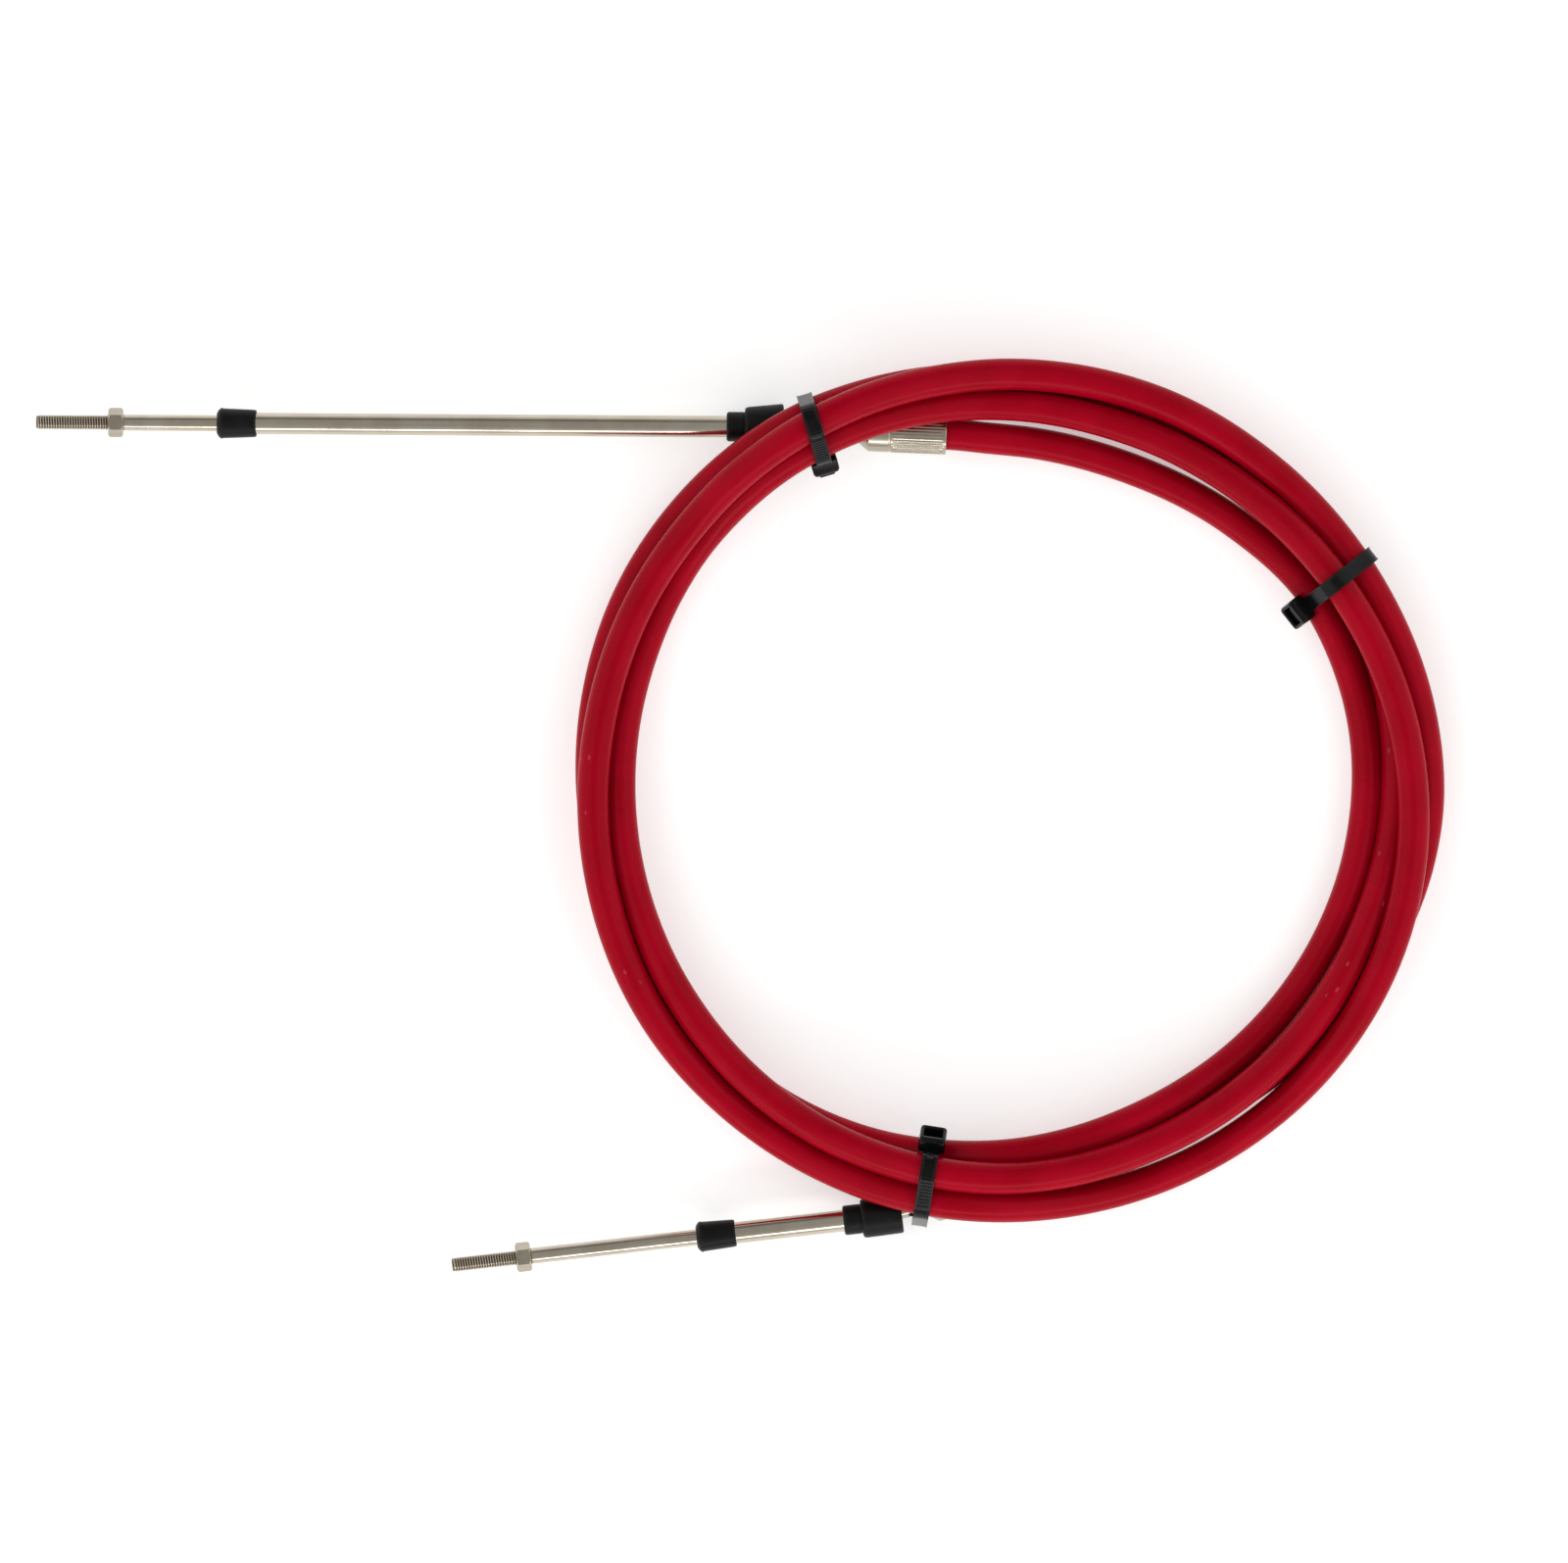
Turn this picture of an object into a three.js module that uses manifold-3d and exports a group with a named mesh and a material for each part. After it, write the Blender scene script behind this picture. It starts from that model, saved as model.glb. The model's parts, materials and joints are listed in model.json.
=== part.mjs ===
// A push-pull trim cable, coiled and tied: a red jacketed conduit with a steel hub, a swivelling
// sleeve and a threaded rod at each end, held in its coil by three nylon ties.
// Millimetres, +Z up. The coil lies flat, and the first end points to -X.
import * as THREE from 'three';
import { mergeVertices } from 'three/addons/utils/BufferGeometryUtils.js';
import Module from 'manifold-3d';

const wasm = await Module();
wasm.setup();

// Conduit
const cableDiameter = 9.8;
const coilRadius = 121.2;
const cableSides = 10;
const bearingStep = 10;

// Lay of the conduit. A row is [bearing, offset, level]: the bearing in degrees, clockwise from +Y
// and running on from turn to turn; how far the strand lies outside coilRadius; and how far it
// lies above the surface it rests on. Offset and level are in cable diameters.
const lay = [
  [-10, -0.96, 0.18], [-4, -1.22, 0.17], [5, -1.40, 0.02], [20, -1.52, 0.02], [40, -1.32, 0.02],
  [60, -1.02, 0.16], [80, -1.05, 0.02], [100, -1.24, 0.02], [120, -1.34, 0.02], [140, -1.34, 0.20],
  [150, -1.30, 0.58], [160, -1.22, 0.74], [170, -1.06, 0.84], [180, -0.86, 0.98], [190, -0.62, 0.60],
  [200, -0.38, 0.12], [210, -0.20, 0.02], [225, 0.08, 0.02], [240, 0.38, 0.02], [260, 0.68, 0.02],
  [280, 0.94, 0.02], [300, 1.14, 0.02], [310, 1.16, 0.26], [320, 1.14, 0.98], [330, 1.06, 1.36],
  [340, 0.90, 0.74], [350, 0.74, 0.14], [360, 0.56, 0.02], [380, 0.31, 0.02], [400, 0.15, 0.02],
  [420, 0.02, 0.16], [435, 0.01, 0.02], [450, -0.13, 0.02], [460, -0.22, 0.22], [470, -0.30, 0.58],
  [480, -0.32, 0.86], [500, -0.34, 1.05], [520, -0.28, 1.14], [530, -0.20, 1.36], [540, -0.12, 1.69],
  [550, -0.08, 1.86], [560, -0.06, 1.46], [570, -0.04, 1.10], [580, -0.06, 1.04], [600, -0.10, 0.92],
  [620, -0.09, 0.67], [640, -0.04, 0.28], [650, 0.00, 0.04], [660, 0.08, 0.02], [670, 0.14, 0.32],
  [680, 0.14, 1.14], [690, 0.10, 1.70], [700, 0.02, 1.42], [710, -0.10, 1.00], [720, -0.22, 0.72],
  [740, -0.38, 0.76], [760, -0.34, 1.06], [780, -0.12, 1.56], [800, 0.20, 1.32], [820, 0.50, 1.02],
  [835, 0.66, 1.04], [850, 0.74, 0.70], [862, 0.76, 0.16], [880, 0.76, 0.04], [890, 0.76, 0.40],
  [900, 0.78, 1.08], [910, 0.82, 1.40], [920, 0.86, 1.04], [930, 0.88, 0.58], [940, 0.90, 0.50],
  [955, 0.94, 0.80], [980, 0.82, 1.14], [1000, 0.72, 1.04], [1020, 0.70, 0.96], [1030, 0.68, 1.26],
  [1040, 0.70, 2.04], [1050, 0.70, 2.52], [1060, 0.72, 2.16], [1070, 0.72, 1.62], [1080, 0.74, 1.16],
  [1100, 0.74, 0.96], [1120, 0.67, 0.92], [1140, 0.70, 0.93], [1160, 0.84, 0.52], [1170, 0.88, 0.20],
  [1180, 0.78, 0.02], [1190, 0.56, 0.02], [1200, 0.26, 0.02], [1210, -0.02, 0.02], [1220, -0.28, 0.02],
  [1230, -0.46, 0.02], [1240, -0.52, 0.02], [1250, -0.46, 0.08], [1255, -0.32, 0.17], [1260, -0.02, 0.18],
];

// Hub: a crimped steel barrel with a nose, a narrow neck and a swivel ball
const hubRadius = 6.35;
const hubRibbedLength = 17.6;
const hubBandLength = 6.5;
const noseLength = 4.7;
const socketDepth = 14;
const crimpClearance = 0.3;
const neckRadius = 2.5;
const stemRadius = 1.7;
const ballRadius = 2.5;

// Sleeve tube
const boreClearance = 0.3;
const sleeveWall = 0.55;
const sleeveOverBall = 1.2;

// Rod, its thread and its nut
const rodDiameter = 5;
const threadDiameter = 4.9;
const tipChamfer = 0.6;
const nutAcrossFlats = 8;
const nutThickness = 4.7;
const roundSides = 24;

// Boot over the swivel, and the wiper seal on the sleeve's mouth
const bootCollarLength = 5.8;
const bootCollarWall = 1;
const bootSkirtLength = 12.4;
const bootSkirtRadius = 5.6;
const bootSkirtWall = 1.15;
const bootPastBall = 6.2;
const rubberClearance = 0.3;
const sealLength = 12.3;
const sealOverSleeve = 8.7;
const sealLipRadius = 4.7;
const sealRearRadius = 4.15;

// Lengths of the two ends, from the hub outwards: its neck, the sleeve that shows between boot and
// seal, the rod from the seal to its thread, the rod inside the seal and sleeve, and the thread
const neckLength1 = 27.3;
const sleeveLength1 = 145.5;
const rodLength1 = 28.6;
const rodInside1 = 90;
const threadLength1 = 27.3;
const neckLength2 = 12.1;
const sleeveLength2 = 33.5;
const rodLength2 = 51.2;
const rodInside2 = 19.5;
const threadLength2 = 24.9;

// The swing is the angle at rest between the hub and the sleeve, seen from above.
const ends = [
  {
    name: '1', swing: 1.9, neck: neckLength1, sleeve: sleeveLength1,
    rod: rodLength1, rodInside: rodInside1, thread: threadLength1,
  },
  {
    name: '2', swing: -9.1, neck: neckLength2, sleeve: sleeveLength2,
    rod: rodLength2, rodInside: rodInside2, thread: threadLength2,
  },
];

// Ties. A tie stands at a bearing, turned askew by that many degrees, clockwise from above. Its head
// sits on the loop in the direction headFrom from the loop's middle, and faces headAngle: 0 is out
// from the coil, 90 is up, 180 is in. neckOf is the index of the end whose neck is in the loop.
const strapWidth = 4.8;
const strapThickness = 1.2;
const strapClearance = 0.35;
const headWidth = 8.4;
const headLength = 8.2;
const headDepth = 5.4;
const headSlotWidth = 5.2;
const headSlotLength = 2.2;
const headSlotDepth = 1.4;
const headLift = 0.6;
const ties = [
  { name: '1', bearing: -29, askew: 12.6, headFrom: 178, headAngle: 202, neckOf: 0 },
  { name: '2', bearing: 57.5, askew: -5.7, headFrom: 198, headAngle: 151, neckOf: null },
  { name: '3', bearing: 192.1, askew: -3.4, headFrom: 160, headAngle: 145, neckOf: 1 },
];

const rodRadius = rodDiameter / 2;
const boreRadius = Math.max(rodRadius, ballRadius) + boreClearance;
const sleeveRadius = boreRadius + sleeveWall;
const hubBarrelLength = hubRibbedLength + hubBandLength;
const radians = THREE.MathUtils.degToRad;

// Smooth value of one column of the lay at a bearing: a cubic from row to row, level at each high
// and low row, and otherwise with the mean slope of the two sides.
function layValue(column, bearing) {
  let i = 0;
  while (i < lay.length - 2 && bearing >= lay[i + 1][0]) i += 1;
  const gap = (k) => lay[k + 1][0] - lay[k][0];
  const slope = (k) => (lay[k + 1][column] - lay[k][column]) / gap(k);
  const tangent = (k) => {
    if (k === 0) return slope(0);
    if (k === lay.length - 1) return slope(k - 1);
    if (slope(k - 1) * slope(k) <= 0) return 0;
    return (slope(k - 1) * gap(k) + slope(k) * gap(k - 1)) / (gap(k - 1) + gap(k));
  };
  const t = (bearing - lay[i][0]) / gap(i);
  const startPart = (1 + 2 * t) * (1 - t) ** 2 * lay[i][column] + t * (1 - t) ** 2 * gap(i) * tangent(i);
  const endPart = t * t * (3 - 2 * t) * lay[i + 1][column] + t * t * (t - 1) * gap(i) * tangent(i + 1);
  return startPart + endPart;
}

// The conduit's centre line, run by bearing, so that the steps of neighbouring turns line up. A
// straight step at each end goes level into its hub's socket.
class CoilRoute extends THREE.Curve {
  constructor() {
    super();
    this.first = lay[0][0];
    this.last = lay[lay.length - 1][0];
    this.coilSteps = Math.round((this.last - this.first) / bearingStep);
    this.steps = this.coilSteps + 2;
  }
  at(bearing) {
    const radius = coilRadius + cableDiameter * layValue(1, bearing);
    const height = cableDiameter * (0.5 + layValue(2, bearing));
    const angle = radians(bearing);
    return new THREE.Vector3(radius * Math.sin(angle), radius * Math.cos(angle), height);
  }
  // The mouth of a hub, and the level direction in which the conduit leaves the coil there.
  exit(index) {
    const bearing = index === 0 ? this.first : this.last;
    const inside = index === 0 ? bearing + 0.01 : bearing - 0.01;
    const mouth = this.at(bearing);
    const heading = mouth.clone().sub(this.at(inside)).setZ(0).normalize();
    return { mouth, heading };
  }
  getPoint(t) {
    const step = t * this.steps - 1;
    if (step >= 0 && step <= this.coilSteps) return this.at(this.first + step * bearingStep);
    const { mouth, heading } = this.exit(step < 0 ? 0 : 1);
    const beyond = step < 0 ? -step : step - this.coilSteps;
    return mouth.addScaledVector(heading, beyond * socketDepth);
  }
  getUtoTmapping(u) {
    return u;
  }
  // The point on the straight step that the solid has at this bearing.
  onStep(bearing) {
    const from = this.first + Math.floor((bearing - this.first) / bearingStep) * bearingStep;
    const a = this.at(from);
    const b = this.at(from + bearingStep);
    const angle = radians(bearing);
    const across = new THREE.Vector3(Math.cos(angle), -Math.sin(angle), 0);
    const share = -a.dot(across) / b.clone().sub(a).dot(across);
    return a.lerp(b, share);
  }
}
const route = new CoilRoute();

const materials = {
  jacket: new THREE.MeshStandardMaterial({ color: 0x9c0018, roughness: 0.42, metalness: 0 }),
  stainless: new THREE.MeshStandardMaterial({ color: 0xb0aaa0, roughness: 0.25, metalness: 1 }),
  steel: new THREE.MeshStandardMaterial({ color: 0xa8a294, roughness: 0.38, metalness: 1 }),
  rubber: new THREE.MeshStandardMaterial({ color: 0x17181a, roughness: 0.55, metalness: 0 }),
  nylon: new THREE.MeshStandardMaterial({ color: 0x121416, roughness: 0.4, metalness: 0 }),
};

function part(name, geometry, material) {
  const mesh = new THREE.Mesh(geometry, material);
  mesh.name = name;
  return mesh;
}

// A turned piece from its closed half section. Rows are [place along the axis, radius], and the
// axis is +X.
function turned(rows, sides = roundSides) {
  const profile = rows.map(([along, radius]) => new THREE.Vector2(radius, along));
  const geometry = new THREE.LatheGeometry(profile, sides);
  geometry.rotateZ(-Math.PI / 2);
  return geometry;
}

// manifold-3d needs the shared vertices of a closed mesh merged.
function toSolid(geometry) {
  const bare = geometry.clone();
  bare.deleteAttribute('normal');
  bare.deleteAttribute('uv');
  const merged = mergeVertices(bare, 1e-5);
  return new wasm.Manifold(new wasm.Mesh({
    numProp: 3,
    vertProperties: new Float32Array(merged.attributes.position.array),
    triVerts: new Uint32Array(merged.index.array),
  }));
}

function toGeometry(solid) {
  const mesh = solid.getMesh();
  const geometry = new THREE.BufferGeometry();
  geometry.setAttribute('position', new THREE.BufferAttribute(mesh.vertProperties, 3));
  geometry.setIndex(new THREE.BufferAttribute(mesh.triVerts, 1));
  const flat = geometry.toNonIndexed();
  flat.computeVertexNormals();
  return flat;
}

function conduit() {
  const section = new THREE.Shape();
  for (let i = 0; i < cableSides; i += 1) {
    const angle = (i / cableSides) * 2 * Math.PI;
    const x = (cableDiameter / 2) * Math.cos(angle);
    const y = (cableDiameter / 2) * Math.sin(angle);
    if (i === 0) section.moveTo(x, y);
    else section.lineTo(x, y);
  }
  section.closePath();
  const geometry = new THREE.ExtrudeGeometry(section, {
    steps: route.steps, extrudePath: route, bevelEnabled: false,
  });
  return part('conduit', geometry, materials.jacket);
}

// The hub along its axis: the cable's mouth at 0, the swivel ball at the far end. The conduit's
// end stands at the bottom of a socket that opens at the mouth.
function hub(end) {
  const barrelEnd = hubBarrelLength;
  const noseEnd = barrelEnd + noseLength;
  const ball = noseEnd + end.neck;
  const stemLength = ballRadius + 0.9;
  const socketRadius = cableDiameter / 2 + crimpClearance;
  const socketEnd = socketDepth + crimpClearance;
  const rows = [[socketEnd, 0], [socketEnd, socketRadius], [0, socketRadius], [0, hubRadius],
    [barrelEnd, hubRadius], [noseEnd, neckRadius]];
  rows.push([ball - stemLength, neckRadius], [ball - stemLength, stemRadius]);
  const arcStart = Math.asin(stemRadius / ballRadius);
  const arcSteps = 6;
  for (let i = 0; i <= arcSteps; i += 1) {
    const angle = Math.PI - arcStart - (i / arcSteps) * (Math.PI - arcStart);
    const radius = i === arcSteps ? 0 : ballRadius * Math.sin(angle);
    rows.push([ball + ballRadius * Math.cos(angle), radius]);
  }
  return part(`hub_${end.name}`, turned(rows), materials.steel);
}

// The hub's outer radius at a place along its axis, from the mouth.
function hubRadiusAt(along) {
  const share = THREE.MathUtils.clamp((along - hubBarrelLength) / noseLength, 0, 1);
  return hubRadius + share * (neckRadius - hubRadius);
}

function sleeve(end) {
  const from = -sleeveOverBall;
  const to = sleeveEnd(end);
  const rows = [[from, boreRadius], [from, sleeveRadius], [to, sleeveRadius], [to, boreRadius],
    [from, boreRadius]];
  return part(`sleeve_${end.name}`, turned(rows), materials.stainless);
}

// Places along the fitting's axis, from the swivel ball at 0 out to the rod's tip.
function bootEnd() {
  return bootCollarLength + bootSkirtLength - bootPastBall;
}
function sealStart(end) {
  return bootEnd() + end.sleeve;
}
function sleeveEnd(end) {
  return sealStart(end) + sealOverSleeve;
}
function threadStart(end) {
  return sealStart(end) + sealLength + end.rod;
}

function boot(end) {
  const mouth = -bootPastBall;
  const step = bootSkirtLength - bootPastBall;
  const collarBore = sleeveRadius + rubberClearance;
  const skirtBore = bootSkirtRadius - bootSkirtWall;
  const rows = [[mouth, skirtBore], [mouth, bootSkirtRadius], [step, bootSkirtRadius],
    [step, collarBore + bootCollarWall], [bootEnd(), collarBore + bootCollarWall],
    [bootEnd(), collarBore], [step - bootSkirtWall, collarBore], [step - bootSkirtWall, skirtBore],
    [mouth, skirtBore]];
  return part(`boot_${end.name}`, turned(rows), materials.rubber);
}

function seal(end) {
  const rear = sealStart(end);
  const lip = rear + sealLength;
  const sleeveBore = sleeveRadius + rubberClearance;
  const rodBore = rodRadius + rubberClearance;
  const floor = rear + sealOverSleeve + rubberClearance;
  const rows = [[rear, sleeveBore], [rear, sealRearRadius], [lip, sealLipRadius], [lip, rodBore],
    [floor, rodBore], [floor, sleeveBore], [rear, sleeveBore]];
  return part(`seal_${end.name}`, turned(rows), materials.rubber);
}

function rod(end) {
  const shoulder = threadStart(end);
  const inner = sealStart(end) + sealLength - end.rodInside;
  const tip = shoulder + end.thread;
  const threadRadius = threadDiameter / 2;
  const rows = [[inner, 0], [inner, rodRadius], [shoulder, rodRadius], [shoulder, threadRadius],
    [tip - tipChamfer, threadRadius], [tip, threadRadius - tipChamfer], [tip, 0]];
  return part(`rod_${end.name}`, turned(rows), materials.stainless);
}

function nut(end) {
  const corner = nutAcrossFlats / 2 / Math.cos(Math.PI / 6);
  const outline = new THREE.Shape();
  for (let i = 0; i < 6; i += 1) {
    const angle = radians(60 * i + 90);
    if (i === 0) outline.moveTo(corner * Math.cos(angle), corner * Math.sin(angle));
    else outline.lineTo(corner * Math.cos(angle), corner * Math.sin(angle));
  }
  outline.closePath();
  const bore = new THREE.Path();
  bore.absarc(0, 0, threadDiameter / 2 + boreClearance, 0, 2 * Math.PI, true);
  outline.holes.push(bore);
  const geometry = new THREE.ExtrudeGeometry(outline, {
    depth: nutThickness, bevelEnabled: false, curveSegments: roundSides / 2,
  });
  geometry.rotateY(Math.PI / 2);
  geometry.translate(threadStart(end) + boreClearance, 0, 0);
  return part(`nut_${end.name}`, geometry, materials.steel);
}

// The hub lies level, in line with the conduit where it leaves the coil.
function endGroup(end, index) {
  const { mouth, heading } = route.exit(index);
  const group = new THREE.Group();
  group.position.copy(mouth);
  group.rotation.z = Math.atan2(heading.y, heading.x);
  const body = hub(end);
  group.add(body);
  const fitting = new THREE.Group();
  fitting.position.x = hubBarrelLength + noseLength + end.neck;
  fitting.rotation.z = radians(end.swing);
  fitting.add(sleeve(end), boot(end), seal(end), rod(end), nut(end));
  group.add(fitting);
  group.updateMatrixWorld(true);
  return group;
}

// The convex outline round circles, as points in counter-clockwise order.
function outlineRound(circles, extra) {
  const points = [];
  const arcSteps = 20;
  for (const { x, y, radius } of circles) {
    for (let i = 0; i < arcSteps; i += 1) {
      const angle = (i / arcSteps) * 2 * Math.PI;
      const reach = (radius + extra) / Math.cos(Math.PI / arcSteps);
      points.push(new THREE.Vector2(x + reach * Math.cos(angle), y + reach * Math.sin(angle)));
    }
  }
  points.sort((a, b) => a.x - b.x || a.y - b.y);
  const turn = (o, a, b) => (a.x - o.x) * (b.y - o.y) - (a.y - o.y) * (b.x - o.x);
  const half = (list) => {
    const chain = [];
    for (const p of list) {
      while (chain.length > 1 && turn(chain[chain.length - 2], chain[chain.length - 1], p) <= 1e-9) {
        chain.pop();
      }
      chain.push(p);
    }
    chain.pop();
    return chain;
  };
  return [...half(points), ...half([...points].reverse())];
}

// The upright plane of a tie: a point in it, and the directions out from the coil and across it.
function tiePlane(tie) {
  const angle = radians(tie.bearing);
  const pivot = new THREE.Vector3(coilRadius * Math.sin(angle), coilRadius * Math.cos(angle), 0);
  const facing = radians(tie.bearing + tie.askew);
  const out = new THREE.Vector3(Math.sin(facing), Math.cos(facing), 0);
  const across = new THREE.Vector3(Math.cos(facing), -Math.sin(facing), 0);
  return { pivot, out, across };
}

// Where the strand near a bearing passes the tie's plane, set off by shift.
function crossing(bearing, { pivot, across }, shift) {
  const rounds = 8;
  let place = bearing;
  let point = route.onStep(place);
  for (let i = 0; i < rounds; i += 1) {
    const miss = shift - point.clone().sub(pivot).dot(across);
    place += THREE.MathUtils.radToDeg(miss / coilRadius);
    point = route.onStep(place);
  }
  return point;
}

// What a tie holds, cut across at its plane: the strands, and the neck that runs through it. Out
// from the coil is x and up is y.
function heldSections(tie, hubs) {
  const circles = [];
  const plane = tiePlane(tie);
  const { pivot, out, across } = plane;
  for (const shift of [-strapWidth / 2, 0, strapWidth / 2]) {
    for (let turn = 0; turn < 5; turn += 1) {
      const bearing = tie.bearing + 360 * turn;
      if (bearing < route.first || bearing > route.last) continue;
      const p = crossing(bearing, plane, shift).sub(pivot);
      circles.push({ x: p.dot(out), y: p.z, radius: cableDiameter / 2 });
    }
  }
  if (tie.neckOf === null) return circles;
  const start = hubs[tie.neckOf].position.clone().sub(pivot);
  const along = new THREE.Vector3(1, 0, 0).applyEuler(hubs[tie.neckOf].rotation);
  const slant = along.dot(across);
  const margin = strapWidth / 2 + neckRadius * Math.sqrt(1 - slant * slant);
  for (const shift of [-margin, -margin / 2, 0, margin / 2, margin]) {
    const reach = (shift - start.dot(across)) / slant;
    const p = start.clone().addScaledVector(along, reach);
    circles.push({ x: p.dot(out), y: p.z, radius: hubRadiusAt(reach) / Math.abs(slant) });
  }
  return circles;
}

// Where a ray from inside an outline leaves it.
function leaving(outline, middle, ray) {
  for (let i = 0; i < outline.length; i += 1) {
    const corner = outline[i].clone().sub(middle);
    const side = outline[(i + 1) % outline.length].clone().sub(outline[i]);
    const reach = corner.cross(side) / ray.cross(side);
    const share = corner.cross(ray) / ray.cross(side);
    if (reach > 0 && share >= 0 && share <= 1) return middle.clone().addScaledVector(ray, reach);
  }
  throw new Error('the ray does not leave the outline');
}

// The strap is a band round what it holds, and the head stands on it.
function tieShape(tie, hubs) {
  const circles = heldSections(tie, hubs);
  const outer = outlineRound(circles, strapClearance + strapThickness);
  const inner = outlineRound(circles, strapClearance);
  const outline = new THREE.Shape(outer);
  outline.holes.push(new THREE.Path(inner));
  const band = new THREE.ExtrudeGeometry(outline, { depth: strapWidth, bevelEnabled: false });
  band.translate(0, 0, -strapWidth / 2);
  const middle = new THREE.Box2().setFromPoints(inner).getCenter(new THREE.Vector2());
  const from = radians(tie.headFrom);
  const seat = leaving(inner, middle, new THREE.Vector2(Math.cos(from), Math.sin(from)));
  const head = new THREE.BoxGeometry(headDepth - headLift, headLength, headWidth);
  head.translate((headDepth + headLift) / 2, 0, 0);
  const slot = new THREE.BoxGeometry(2 * headSlotDepth, headSlotLength, headSlotWidth);
  slot.translate(headDepth, 0, 0);
  for (const block of [head, slot]) {
    block.rotateZ(radians(tie.headAngle));
    block.translate(seat.x, seat.y, 0);
  }
  const geometry = toGeometry(toSolid(band).add(toSolid(head)).subtract(toSolid(slot)));
  const mesh = part(`tie_${tie.name}`, geometry, materials.nylon);
  const { pivot, out, across } = tiePlane(tie);
  const up = new THREE.Vector3(0, 0, 1);
  mesh.applyMatrix4(new THREE.Matrix4().makeBasis(out, up, across).setPosition(pivot));
  return mesh;
}

const group = new THREE.Group();
const hubs = ends.map(endGroup);
const lying = new THREE.Group();
lying.add(conduit(), ...hubs, ...ties.map((tie) => tieShape(tie, hubs)));
group.add(lying);

// The origin is the middle of the footprint, on the surface that the cable lies on.
group.updateMatrixWorld(true);
const box = new THREE.Box3().setFromObject(lying, true);
const middle = box.getCenter(new THREE.Vector3());
lying.position.set(-middle.x, -middle.y, -box.min.z);
group.updateMatrixWorld(true);

export default group;
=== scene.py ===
"""The coiled control cable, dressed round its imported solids. The frame is in metres, +Z up."""
import json
import math

import bpy
import numpy as np
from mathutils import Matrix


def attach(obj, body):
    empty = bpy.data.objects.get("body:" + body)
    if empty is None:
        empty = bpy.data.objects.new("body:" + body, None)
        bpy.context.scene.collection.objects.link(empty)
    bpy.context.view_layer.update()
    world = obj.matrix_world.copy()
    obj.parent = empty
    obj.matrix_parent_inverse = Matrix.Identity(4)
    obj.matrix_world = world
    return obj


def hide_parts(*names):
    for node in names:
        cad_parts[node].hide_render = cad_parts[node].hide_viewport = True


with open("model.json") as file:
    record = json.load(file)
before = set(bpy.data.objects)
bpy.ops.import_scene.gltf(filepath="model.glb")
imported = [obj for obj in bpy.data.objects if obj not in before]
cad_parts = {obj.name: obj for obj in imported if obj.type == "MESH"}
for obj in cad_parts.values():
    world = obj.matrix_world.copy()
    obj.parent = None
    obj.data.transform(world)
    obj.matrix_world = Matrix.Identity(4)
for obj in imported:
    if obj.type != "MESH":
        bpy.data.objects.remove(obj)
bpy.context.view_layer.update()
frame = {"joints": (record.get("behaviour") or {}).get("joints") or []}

MM = 0.001

# Conduit, in millimetres
CABLE_DIAMETER = 9.8
COIL_RADIUS = 121.2
SOCKET_DEPTH = 14

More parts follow.
